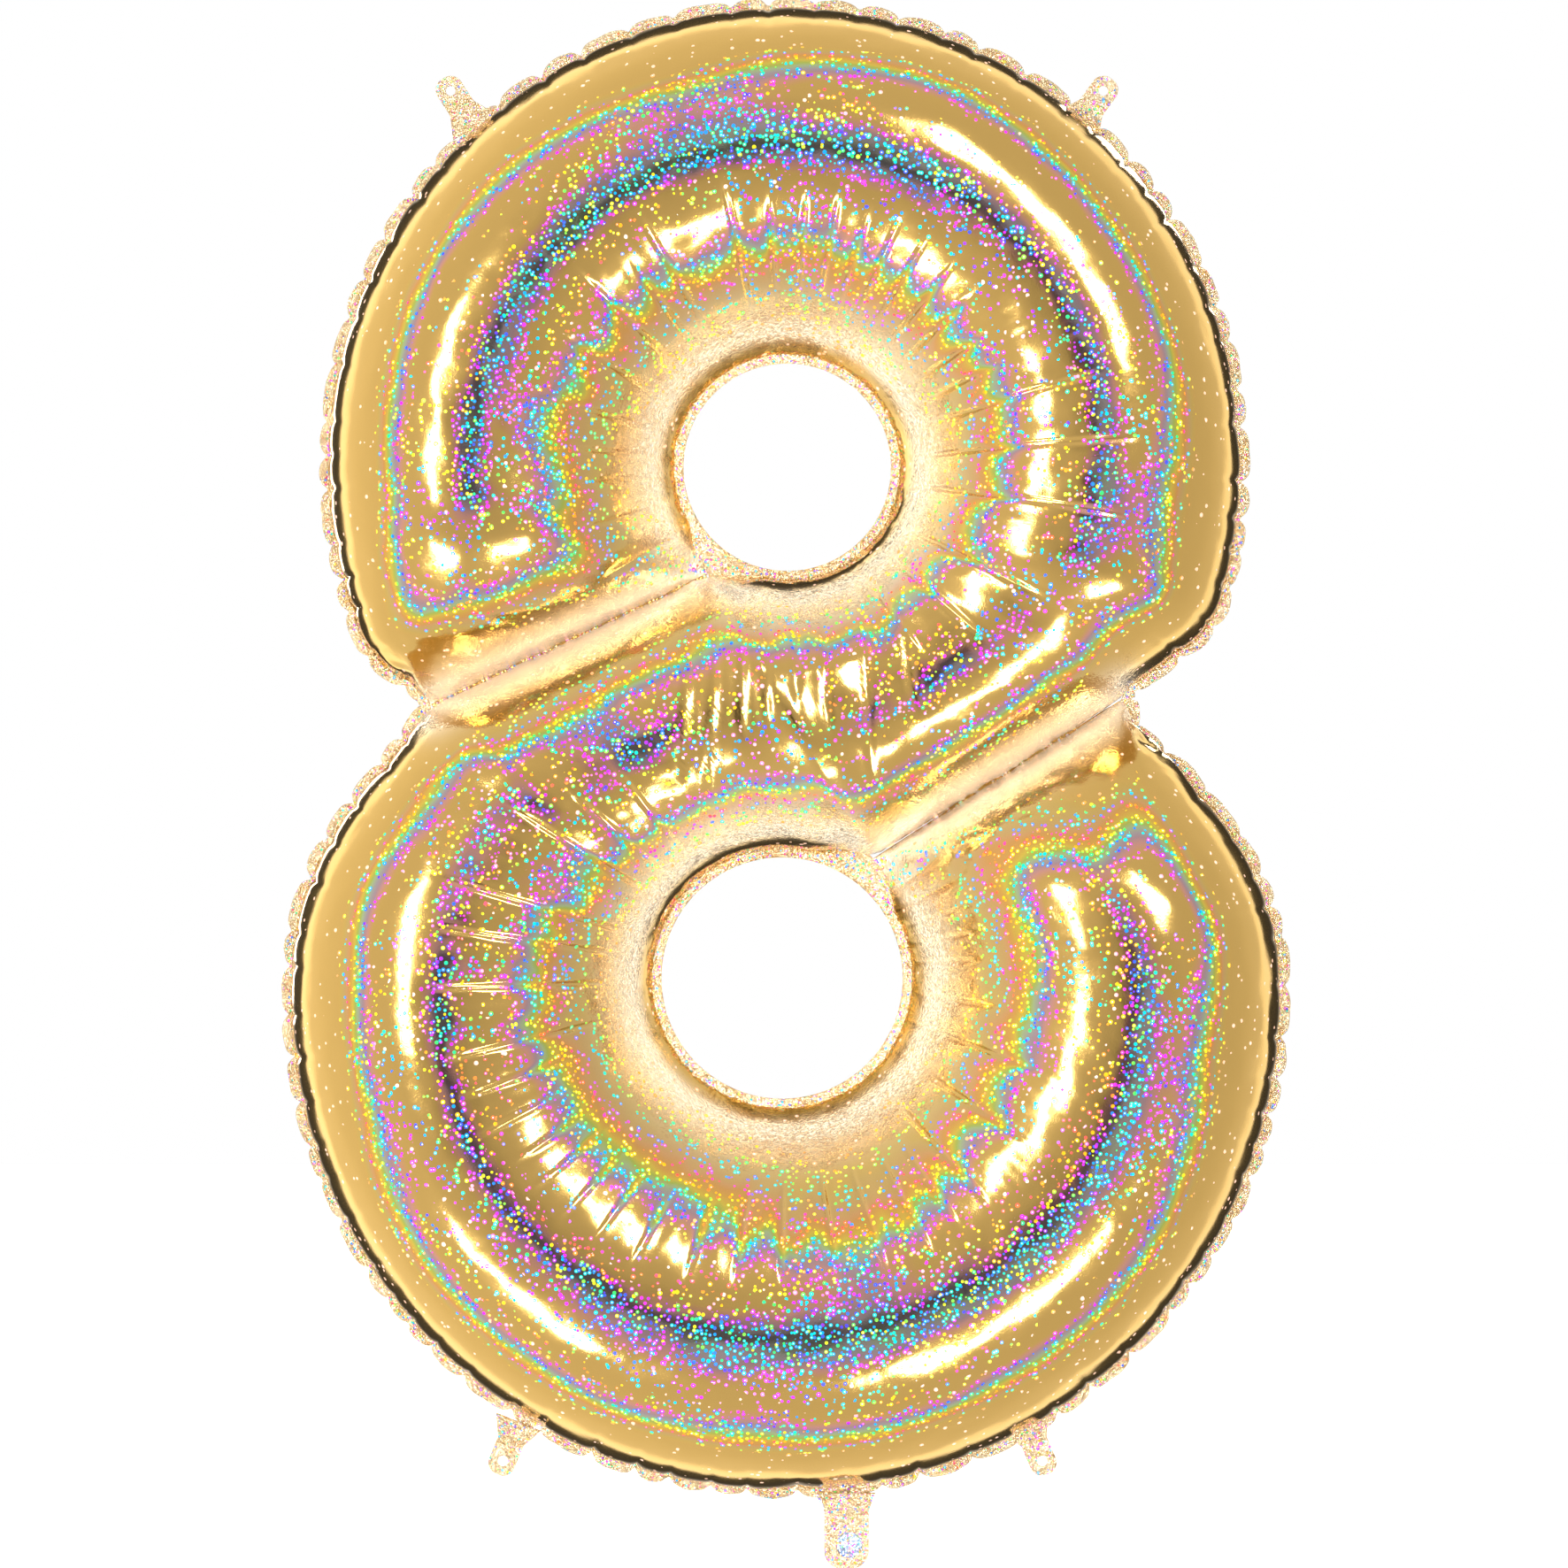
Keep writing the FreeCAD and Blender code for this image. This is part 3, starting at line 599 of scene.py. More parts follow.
def press(sheet, seed):
    """Adds creases, puckers and tucks to one sheet."""
    normal = sheet_normals(sheet * (1, np.sign(-sheet[FINE_STATIONS // 2, FINE_ACROSS // 2, 1]), 1))
    normal[..., 1] *= np.sign(-sheet[FINE_STATIONS // 2, FINE_ACROSS // 2, 1])
    push = sum(lift * crease_depth(sheet, width) for lift, width in (CREASE, SHOULDER))
    inward = np.zeros_like(sheet)
    rng = np.random.default_rng(seed)
    shared = np.random.default_rng(11)
    for part, column, centre in ((0, 0, UPPER_LOOP), (3, -1, LOWER_LOOP)):
        rows = np.nonzero(in_part[part])[0]
        edge = sheet[rows, column]
        tuck, line = tuck_field(lengths_along(edge), shared)
        TUCKS[part] = tuck / TUCK_DEPTH[1]
        away = distance_in(sheet[rows[len(rows) // 2]], column)
        reach = 0.016 + 6.0 * tuck
        fade = np.exp(-(away[None] / reach[:, None]) ** 1.5)
        towards = np.stack([centre[0] - edge[:, 0], 0 * edge[:, 0], centre[1] - edge[:, 2]], 1)
        towards /= np.linalg.norm(towards, axis=1)[:, None]
        inward[rows] += (tuck[:, None] * fade)[..., None] * towards[:, None]
        far = smooth(1 - away[None] / (0.022 + 7.0 * line[:, None])) * smooth(away[None] / 0.003)
        push[rows] -= 0.55 * line[:, None] * far
    for rows, column in ((in_part[1], 0), (in_part[2], -1)):
        rows = np.nonzero(rows)[0]
        away = distance_in(sheet[rows[len(rows) // 2]], column)
        push[rows] += pucker_field(lengths_along(sheet[rows, column]), away, rng)
    for row in (0, -1):
        away = distance_in(sheet[:, FINE_ACROSS // 2], row)
        push += pucker_field(lengths_along(sheet[row]), away, rng).T
    return sheet + push[..., None] * normal + inward


def pucker_field(place, away, rng):
    """Fine ridges that run out from a seam, as (along the seam, away from it)."""
    middles, strengths = bumps_along(place, PUCKER_GAP, rng)
    field = np.zeros((len(place), len(away)))
    for middle, strong in zip(middles, strengths):
        lean = rng.uniform(-0.35, 0.35)
        width = rng.uniform(0.0016, 0.0030)
        aside = place[:, None] - middle - lean * away[None]
        fade = np.exp(-(away[None] / (0.006 + 0.014 * strong)) ** 2)
        shape = np.exp(-(aside / width) ** 2) * fade
        field += strong * shape * rng.choice([-0.8, 1.0])
    return PUCKER_HEIGHT * field * smooth(away[None] / 0.004)


front_sheet, back_sheet = press(front_sheet, 21), press(back_sheet, 22)
print("pressed", front_sheet.min((0, 1)).round(4), front_sheet.max((0, 1)).round(4))

# %% [markdown]
# ## Painted rainbow bands
# The embossing acts as a grating. Near a lamp's mirror image the film is white; further round
# the curve it turns pink, violet, blue, green, yellow and orange, and beyond that it is plain
# gold. The rainbow colours are painted into the film as a painted reflection of the lamps: each
# point of the film stores two numbers, how many degrees its slope is from the nearest, and from
# the second nearest, of the slopes that mirror a lamp towards the front. The lamps and the
# painted rainbows then agree. Because the numbers belong to the surface, the bands stay put
# when the balloon is seen from elsewhere, which real ones would not.

# %% The lamps, as slopes of the film
# middle of the lamp's mirror image (degrees right, degrees up), half sizes, turn
LAMPS = {
    "left": ((-14.0, 4.0), (1.7, 6.0), 8.0),
    "upper_right": ((11.0, 12.0), (6.0, 1.8), -56.0),
    "low_left": ((-12.5, -16.0), (4.0, 1.3), -35.0),
    "low_right": ((9.0, -15.5), (5.0, 1.6), 28.0),
}


def span_of(pairs):
    """The length of each (right, up) pair."""
    return np.hypot(pairs[..., 0], pairs[..., 1])


def rainbow_places(normal):
    """Degrees of slope from the nearest lamp's mirror image, and from the second nearest."""
    side = np.hypot(normal[..., 0], normal[..., 2])
    tilt = np.degrees(np.arctan2(side, np.abs(normal[..., 1]))) / (side + 1e-9)
    slope = np.stack([normal[..., 0] * tilt, normal[..., 2] * tilt], -1)
    ranges = []
    for middle, half, turn in LAMPS.values():
        cos, sin = math.cos(math.radians(turn)), math.sin(math.radians(turn))
        away = slope - middle
        local = np.stack([away[..., 0] * cos + away[..., 1] * sin,
                          away[..., 1] * cos - away[..., 0] * sin], -1)
        ranges.append(span_of(np.maximum(np.abs(local) - half, 0)))
    return np.sort(ranges, axis=0)[:2]


BANDS = ("rainbow", "second_rainbow")


def store(mesh, name, values):
    layer = mesh.attributes.new(name, "FLOAT", "POINT")
    layer.data.foreach_set("value", np.asarray(values, np.float32).ravel())


def soften(grid, along, across):
    """Evens a field out over a sheet, so that the bands follow the larger shape."""
    for _ in range(along):
        grid = np.concatenate([grid[:1], (grid[:-2] + 2 * grid[1:-1] + grid[2:]) / 4, grid[-1:]])
    for _ in range(across):
        inner = (grid[:, :-2] + 2 * grid[:, 1:-1] + grid[:, 2:]) / 4
        grid = np.concatenate([grid[:, :1], inner, grid[:, -1:]], 1)
    return grid


# %% [markdown]
# ## The pieces of film
# A helper turns any grid of points into a piece: the two panels, the flange, the rings in the
# holes, the waist seams, the tabs and the filling tail are all sheets of film.

# %% Make a piece from a grid


def grid_piece(name, grid, closed=False, facing=None, thick=0.0):
    """A sheet from (rows, columns, 3) points. closed joins the last row to the first."""
    rows, columns = grid.shape[:2]
    ids = np.arange(rows * columns).reshape(rows, columns)
    if closed:
        ids = np.concatenate([ids, ids[:1]])
    quads = quads_of(ids)
    points = grid.reshape(-1, 3)
    if facing is not None and sheet_is_backwards(points, quads) == (facing == "front"):
        quads = quads[:, ::-1]
    mesh = bpy.data.meshes.new(name)
    mesh.from_pydata(points.tolist(), [], quads.tolist())
    mesh.validate()
    piece = bpy.data.objects.new(name, mesh)
    bpy.context.collection.objects.link(piece)
    if thick:
        wall = piece.modifiers.new("Wall", "SOLIDIFY")
        wall.thickness, wall.offset = thick, 0
        bpy.context.view_layer.objects.active = piece
        piece.select_set(True)
        bpy.ops.object.modifier_apply(modifier="Wall")
    bpy.ops.object.select_all(action="DESELECT")
    piece.select_set(True)
    bpy.context.view_layer.objects.active = piece
    bpy.ops.object.shade_smooth()
    piece.select_set(False)
    normals = np.zeros(len(piece.data.vertices) * 3)
    piece.data.vertices.foreach_get("normal", normals)
    # store where the painted rainbow reflection of the lamps falls on this piece
    for band, values in zip(BANDS, rainbow_places(normals.reshape(-1, 3))):
        store(piece.data, band, values)
    return piece


HOLE_SHEEN, SEAM_SHEEN = 0.72, 0.80       # strength of the painted highlight beside a hole and of the painted sheen along a waist seam
SEAM_SHEEN_REACH = 0.017
FLANK_START, FLANK_SPAN = 0.74, 0.12    # shares of the way from a loop's middle to its rim
PLAIN_FROM = 17                         # degrees past which the outer flanks turn plain


def painted_sheen(sheet):
    """Painted sheen, 1 where fine puckers would scatter the light: along the waist seams, and a
    little at the holes as a painted highlight.
    """
    place = sheet[..., [0, 2]]
    pale = np.zeros(sheet.shape[:2])
    for centre, mount in ((UPPER_HOLE, "upper_hole"), (LOWER_HOLE, "lower_hole")):
        away = span_of(place - centre) - radius_of(mount) - SEAL_WIDTH
        pale = np.maximum(pale, HOLE_SHEEN * smooth((away - 0.004) / 0.009)
                          * np.exp(-(np.maximum(away - 0.012, 0) / 0.021) ** 2))
    for notch, inner in ((LEFT_NOTCH, LEFT_SEAM_END), (RIGHT_NOTCH, RIGHT_SEAM_END)):
        way = (inner - notch) / np.hypot(*(inner - notch))
        along = np.clip((place - notch) @ way, 0, np.hypot(*(inner - notch)))
        away = span_of(place - notch - along[..., None] * way)
        pale = np.maximum(pale, SEAM_SHEEN * np.exp(-(away / SEAM_SHEEN_REACH) ** 2))
    return pale


def outwardness(sheet):
    """Above 0 where a loop's film faces away from its hole: the outer flanks stay plain gold."""
    share = np.zeros(sheet.shape[:2])
    for part, centre in ((0, UPPER_LOOP), (3, LOWER_LOOP)):
        rows = in_part[part]
        away = span_of(sheet[rows][..., [0, 2]] - centre)
        edge = away[:, :1] if part == 0 else away[:, -1:]
        share[rows] = 2.0 * smooth((away / edge - FLANK_START) / FLANK_SPAN)
    return soften(share, 40, 0)


def film_panel(name, node, sheet, facing):
    piece = grid_piece(name, sheet, facing=facing)
    for band in BANDS:
        value = np.zeros(len(piece.data.vertices), np.float32)
        layer = piece.data.attributes[band]
        layer.data.foreach_get("value", value)
        grid = value.reshape(sheet.shape[:2])
        grid = 0.4 * soften(grid, 3, 1) + 0.6 * soften(grid, 60, 2)
        grid = grid + outwardness(sheet) * np.maximum(grid - PLAIN_FROM, 0)
        layer.data.foreach_set("value", grid.ravel())
    # store the painted sheen and highlight, where the film is painted paler
    store(piece.data, "pale", painted_sheen(sheet))
    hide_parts(node)
    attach(piece, "envelope")
    return piece


front_film = film_panel("front_film", "front_film_panel", front_sheet, "front")
back_film = film_panel("back_film", "back_film_panel", back_sheet, "back")
print("film triangles", 2 * len(front_film.data.polygons))

# %% [markdown]
# ## The heat seals
# Where the two sheets are welded they make one flat laminate. Its edge is cut close, and each
# tuck in the film pulls it in, so the band round the outside is scalloped and a little wavy.

# %% The outer band
SEAL_THICK = 0.0004
BAND_SPANS = 5


def band_between(inner, outer, spans, wave):
    """A strip of points from one line to another. wave is its sideways lift per row."""
    share = np.linspace(0, 1, spans + 1)[None, :, None]
    strip = inner[:, None] * (1 - share) + outer[:, None] * share
    strip[..., 1] += wave[:, None] * share[..., 0] ** 1.5
    return strip


def waves(count, length, scale, rng):
    """Uneven ripples along a closed line."""
    place = np.linspace(0, 2 * math.pi, count, endpoint=False)
    turns = length / scale
    return sum(rng.uniform(0.3, 1.0) * np.sin(place * round(turns * pace) + rng.uniform(0, 6.28))
               for pace in (0.45, 0.7, 1.0, 1.4)) / 2


upper_edge = front_sheet[in_part[0], 0]
lower_edge = front_sheet[in_part[3], -1][::-1]
rim_line = np.concatenate([upper_edge, lower_edge])
rim_line[:, 1] = 0
way = np.roll(rim_line, -3, 0) - np.roll(rim_line, 3, 0)
way /= np.linalg.norm(way, axis=1)[:, None]
outwards = np.stack([-way[:, 2], 0 * way[:, 0], way[:, 0]], 1)
rng = np.random.default_rng(31)
rim_length = lengths_along(rim_line)[-1]
ripple = waves(len(rim_line), rim_length, 0.03, rng)
tucks = np.concatenate([TUCKS[0], TUCKS[3][::-1]])
reach = SEAL_WIDTH * (1.12 - 0.65 * tucks + 0.07 * waves(len(rim_line), rim_length, 0.02, rng))
outer_line = rim_line + outwards * reach[:, None]
outer_band = grid_piece("outer_seal_band", band_between(rim_line, outer_line, BAND_SPANS,
                                                        0.0011 * ripple),
                        closed=True, facing="front", thick=SEAL_THICK)
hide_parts("outer_seal")
print("rim length", round(rim_length, 3))

# %% The rings in the holes


def hole_ring(name, node, edge, mount, seed):
    """The welded ring between the film's edge and the round opening."""
    centre, opening = at(mount), radius_of(mount)
    angle = np.arctan2(edge[:, 2] - centre[1], edge[:, 0] - centre[0])
    inner = np.stack([centre[0] + opening * np.cos(angle), 0 * angle,
                      centre[1] + opening * np.sin(angle)], 1)
    start = edge.copy()
    start[:, 1] = 0
    rng = np.random.default_rng(seed)
    wave = 0.0006 * waves(len(edge), 0.5, 0.012, rng)
    wave = wave * np.clip(np.minimum(np.arange(len(edge)), np.arange(len(edge))[::-1]) / 9, 0, 1)
    ring_piece = grid_piece(name, band_between(start, inner, BAND_SPANS, wave), closed=True,
                            facing="front", thick=SEAL_THICK)
    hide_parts(node)
    return ring_piece


upper_ring = hole_ring("upper_hole_ring", "upper_hole_seal",
                       front_sheet[in_part[0] | in_part[1], -1], "upper_hole", 41)
lower_ring = hole_ring("lower_hole_ring", "lower_hole_seal",
                       front_sheet[in_part[2] | in_part[3], 0], "lower_hole", 42)

# %% The waist seams


def along_line(points, count):
    """Points at even distances along a line."""
    place = lengths_along(points)
    even = np.linspace(0, place[-1], count)
    return np.stack([np.interp(even, place, points[:, axis]) for axis in range(3)], 1)


def waist_strip(name, node, one_side, other_side, seed):
    count = 220
    rng = np.random.default_rng(seed)
    one, other = along_line(one_side, count), along_line(other_side, count)
    wave = 0.0005 * waves(count, 0.25, 0.008, rng)
    strip = band_between(one, other, 4, 0 * wave)
    strip[:, 1:-1, 1] += wave[:, None]
    seam = grid_piece(name, strip, facing="front", thick=SEAL_THICK)
    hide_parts(node)
    return seam


left_seam = waist_strip("left_waist_weld", "left_waist_seam", front_sheet[0],
                        front_sheet[in_part[2], -1][::-1], 51)
right_seam = waist_strip("right_waist_weld", "right_waist_seam", front_sheet[in_part[1], 0],
                         front_sheet[-1], 52)
SEALS = [outer_band, upper_ring, lower_ring, left_seam, right_seam]
for seal in SEALS:
    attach(seal, "envelope")
print("seals", [seal.name for seal in SEALS])

# %% [markdown]
# ## Hanging tabs
# Each tab is a small tongue of the welded film with a punched hole, and its root spreads into
# the seal. It is drawn as rays from the hole out to its outline, so the hole is clean and the
# film between has enough points to crinkle.

# %% Draw a tongue of film round a hole
RAYS = 96
RINGS = 16


def outline_reach(outline, angles):
    """How far it is from the origin to a closed outline, in each direction."""
    start, end = outline, np.roll(outline, -1, 0)
    way = end - start
    reach = np.zeros(len(angles))
    for number, angle in enumerate(angles):
        ray = np.array([math.cos(angle), math.sin(angle)])
        cross = ray[0] * way[:, 1] - ray[1] * way[:, 0]
        cross = np.where(abs(cross) < 1e-12, 1e-12, cross)
        far = (start[:, 0] * way[:, 1] - start[:, 1] * way[:, 0]) / cross
        share = (start[:, 0] * ray[1] - start[:, 1] * ray[0]) / cross
        reach[number] = far[(share >= 0) & (share <= 1) & (far > 0)].max()
    return reach


def tongue_outline(half_width, tip, root, flare, corner):
    """A tongue that points up, from its flared root round its tip, about the hole."""
    turn = np.linspace(0, math.pi / 2, 13)
    right = [(half_width + flare, root)]
    bend = np.linspace(0, 1, 9)[1:]
    right += [(half_width + flare * (1 - math.sin(share * math.pi / 2)),
               root + 1.3 * flare * share) for share in bend]
    right += [(half_width - corner + corner * math.cos(angle),
               tip - corner + corner * math.sin(angle)) for angle in turn]
    left = [(-x, z) for x, z in reversed(right)]
    return np.array(right + left)


def crinkle(across_axis, along_axis, size, seed):
    """A handful of soft folds at chance angles, as handled film has."""
    rng = np.random.default_rng(seed)
    height = np.zeros_like(across_axis)
    for fold in range(9):
        angle = rng.uniform(0, math.pi)
        place = rng.uniform(-size, size)
        width = rng.uniform(0.06, 0.22) * size
        aside = across_axis * math.cos(angle) + along_axis * math.sin(angle) - place
        height += rng.uniform(-1, 1) * np.exp(-(aside / width) ** 2)
    return height


def tongue(name, hole, lean, outline, hole_radius, depth, seed, lift=0.0):
    """The film from a hole's edge out to an outline, placed with its tip towards lean."""
    angles = np.linspace(0, 2 * math.pi, RAYS, endpoint=False)
    far = outline_reach(outline, angles)
    share = np.linspace(0, 1, RINGS + 1)[None]
    reach = hole_radius + (far[:, None] - hole_radius) * share
    x, z = reach * np.cos(angles)[:, None], reach * np.sin(angles)[:, None]
    height = depth * crinkle(x, z, far.max() / 2, seed) * smooth((reach - hole_radius) / 0.004)
    turn = math.radians(lean)
    along = np.array([math.cos(turn), math.sin(turn)])
    aside = np.array([math.sin(turn), -math.cos(turn)])
    place = np.stack([hole[0] + x * aside[0] + z * along[0], lift + height,
                      hole[1] + x * aside[1] + z * along[1]], -1)
    return grid_piece(name, place, closed=True, facing="front", thick=SEAL_THICK)


# %% The four hanging tabs
TABS = ["upper_left_tab", "upper_right_tab", "lower_left_tab", "lower_right_tab"]
TAB_HALF_WIDTH = 0.0095
TAB_TIP = 0.010
TAB_ROOT = -0.0290


def fold_of(joint):
    """A hinge's place, as (x, z)."""
    x, _, z = joints[joint]["pos_m"]
    return np.array([x, z])


tab_pieces = []
for number, tab in enumerate(TABS):
    hole, fold = at(tab + "_hole"), fold_of(tab + "_fold")
    lean = bearing(fold, hole)
    shape = tongue_outline(TAB_HALF_WIDTH, TAB_TIP, TAB_ROOT, 0.0075, 0.0085)
    piece = tongue(tab + "_film", hole, lean, shape, radius_of(tab + "_hole"), 0.0009, 60 + number)
    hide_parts(tab)
    way = (hole - fold) / np.hypot(*(hole - fold))
    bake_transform(piece)
    tab_pieces.append(piece)
print("tabs", [piece.name for piece in tab_pieces])

# %% [markdown]
# ## The filling tail and the valve
# The tail is two plies. The front one has the inlet hole, and through it shows the bare,
# silvery inside of the back ply. The two clear valve films hang inside the balloon, pressed
# together by the gas, and a short neck of fused film joins tail and valve through the seal.

# %% The tail
tail_low, tail_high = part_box("filling_tail_front")
INLET = at("inlet_port")
TAIL_FOLD = fold_of("tail_fold")
tail_half = (tail_high.x - tail_low.x) / 2
tail_middle = (tail_high.x + tail_low.x) / 2


def tail_outline(offset, root_drop):
    """The tail hangs down, so its outline is drawn tip up and turned over."""
    shape = tongue_outline(tail_half, INLET[1] - tail_low.z, TAIL_TOP - root_drop, 0.006, 0.012)
    return shape + (offset, 0)


TAIL_TOP = INLET[1] - (TAIL_FOLD[1] + 0.0065)
front_ply = tongue("tail_front_ply", INLET, -90, tail_outline(INLET[0] - tail_middle, 0),
                   radius_of("inlet_port"), 0.0008, 71, lift=-0.0009)
back_ply = tongue("tail_back_ply", INLET, -90, tail_outline(INLET[0] - tail_middle, -0.002),
                  0.0004, 0.0004, 72, lift=0.0008)
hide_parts("filling_tail_front")
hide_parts("filling_tail_back")
for ply in (front_ply, back_ply):
    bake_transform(ply)
print("tail", round(tail_high.z - tail_low.z, 4), "m long")

# %% The neck and the valve films


def film_strip(name, low, high, y, ripple, seed):
    """An upright strip of film with long soft folds."""
    columns, rows = 15, 61
    x = np.linspace(low.x, high.x, columns)[None].repeat(rows, 0)
    z = np.linspace(low.z, high.z, rows)[:, None].repeat(columns, 1)
    rng = np.random.default_rng(seed)
    lift = sum(rng.uniform(0.4, 1) * np.sin(z * turns + x * lean + rng.uniform(0, 6))
               for turns, lean in ((90, 40), (170, -90), (260, 30)))
    hang = smooth((z - low.z) / 0.01)
    return grid_piece(name, np.stack([x, y + ripple * lift * hang, z], -1), facing="front",
                      thick=0.00012)


neck_low, neck_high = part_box("filling_neck")
neck = film_strip("valve_neck", neck_low, neck_high, 0.0, 0.0001, 81)
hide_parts("filling_neck")
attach(neck, "envelope")
valve_pieces = []
for node in ("front_valve_film", "back_valve_film"):
    low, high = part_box(node)
    strip = film_strip(node.replace("_film", "_sheet"), low, high, (low.y + high.y) / 2,
                       0.00025, 82)
    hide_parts(node)
    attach(strip, node)
    valve_pieces.append(strip)
print("valve films", round(high.z - low.z, 3), "m long")

# %% [markdown]
# ## Finishes
# All the metallised film shares one node group. It takes the two stored rainbow numbers: one
# dot in three goes by the second, the rest by the first. The number is shifted by a different
# chance amount in each tiny cell and looked up in a colour ramp, so that each band of the
# painted rainbow breaks into glitter. The dots and the film under the painted sheen also give
# off a little light, as painted glints and a painted glow. The shader stays in each material.

# %% The glitter group
CELLS = 330.0                           # cells to the metre, so a dot in every 3 mm
BAND_LIMIT = 34.0                       # degrees at which the colour ramps end
SECOND_SHARE = 0.33                     # share of the dots that go by the second nearest lamp
DOT_SIZE, DOT_SPREAD = 0.30, 0.24       # a dot's smallest radius and its range, in cells
DOT_CENTRE = 0.40                       # share of a dot that is whitish, a painted glint
# the painted sheen and highlight: the film's colour under it and the light it gives off
SHEEN_FILM, SHEEN_GLOW = (1.0, 0.93, 0.82, 1), (0.40, 0.34, 0.28, 1)
# painted rainbow reflection of the lamps: colour of the glitter by degrees of slope from a lamp's
# image, whitish near the image as a painted glint, with a faint second rainbow
RAINBOW = [
    (0.0, (1.00, 0.86, 0.70)), (5.0, (1.00, 0.60, 0.45)), (7.5, (0.98, 0.05, 0.55)),
    (9.0, (0.75, 0.02, 0.85)), (10.2, (0.06, 0.05, 0.85)), (11.4, (0.00, 0.35, 0.85)),
    (12.6, (0.00, 0.80, 0.62)), (13.6, (0.05, 0.80, 0.10)), (14.8, (0.95, 0.85, 0.02)),
    (16.2, (1.00, 0.42, 0.01)), (17.6, (0.98, 0.10, 0.06)), (19.0, (0.98, 0.05, 0.50)),
    (21.0, (0.10, 0.20, 0.85)), (23.0, (0.00, 0.75, 0.65)), (25.0, (0.20, 0.80, 0.10)),
    (27.5, (0.98, 0.80, 0.05)), (30.0, (1.00, 0.35, 0.05)), (34.0, (1.00, 0.60, 0.40)),
]
# share of the cells that glitter, and how much the film between them is tinted with the painted
# rainbow
DENSITY = [(0.0, 0.02), (4.5, 0.04), (7.0, 0.25), (8.5, 0.80), (10.0, 1.0), (16.0, 1.0),
           (18.0, 0.75), (21.0, 0.50), (28.0, 0.50), (31.0, 0.12), (34.0, 0.05)]
TINT = [(0.0, 0.0), (7.0, 0.0), (8.5, 0.16), (11.0, 0.34), (14.5, 0.30), (17.5, 0.16),
        (20.0, 0.05), (34.0, 0.0)]


def add(tree, kind, **values):
    node = tree.nodes.new(kind)
    for name, value in values.items():
        if name.startswith("in_"):
            node.inputs[int(name[3:])].default_value = value
        else:
            setattr(node, name, value)
    return node


def math_node(tree, operation, first, second=None, clamp=False):
    node = add(tree, "ShaderNodeMath", operation=operation, use_clamp=clamp)
    for socket, value in enumerate((first, second)):
        if value is None:
            continue
        if isinstance(value, (int, float)):
            node.inputs[socket].default_value = value
        else:
            tree.links.new(value, node.inputs[socket])
    return node.outputs[0]


def set_ramp(ramp, stops):
    """Fills a colour ramp from (place, (red, green, blue)) pairs in order."""
    elements = ramp.color_ramp.elements
    for place, color in stops[1:-1]:
        elements.new(place).color = (*color, 1)
    elements[0].position, elements[0].color = stops[0][0], (*stops[0][1], 1)
    elements[-1].position, elements[-1].color = stops[-1][0], (*stops[-1][1], 1)


def new_group(name, inputs, outputs):
    group = bpy.data.node_groups.new(name, "ShaderNodeTree")
    for label, kind, value in inputs:
        socket = group.interface.new_socket(label, in_out="INPUT", socket_type=kind)
        if value is not None:
            socket.default_value = value
    for label, kind in outputs:
        group.interface.new_socket(label, in_out="OUTPUT", socket_type=kind)
    return group, group.nodes.new("NodeGroupInput"), group.nodes.new("NodeGroupOutput")


def by_degrees(tree, share, stops):
    """A ramp over the degrees of slope. Stops are (degrees, level or colour)."""
    ramp = add(tree, "ShaderNodeValToRGB")
    set_ramp(ramp, [(degree / BAND_LIMIT, value if isinstance(value, tuple) else (value,) * 3)
                    for degree, value in stops])
    tree.links.new(share, ramp.inputs[0])
    return ramp.outputs[0]


def mixed(tree, factor, first, second):
    """A colour between two, each a socket or a fixed colour."""
    node = add(tree, "ShaderNodeMix", data_type="RGBA")
    for socket, value in ((0, factor), (6, first), (7, second)):
        if isinstance(value, (tuple, float)):
            node.inputs[socket].default_value = value
        else:
            tree.links.new(value, node.inputs[socket])
    return node.outputs[2]


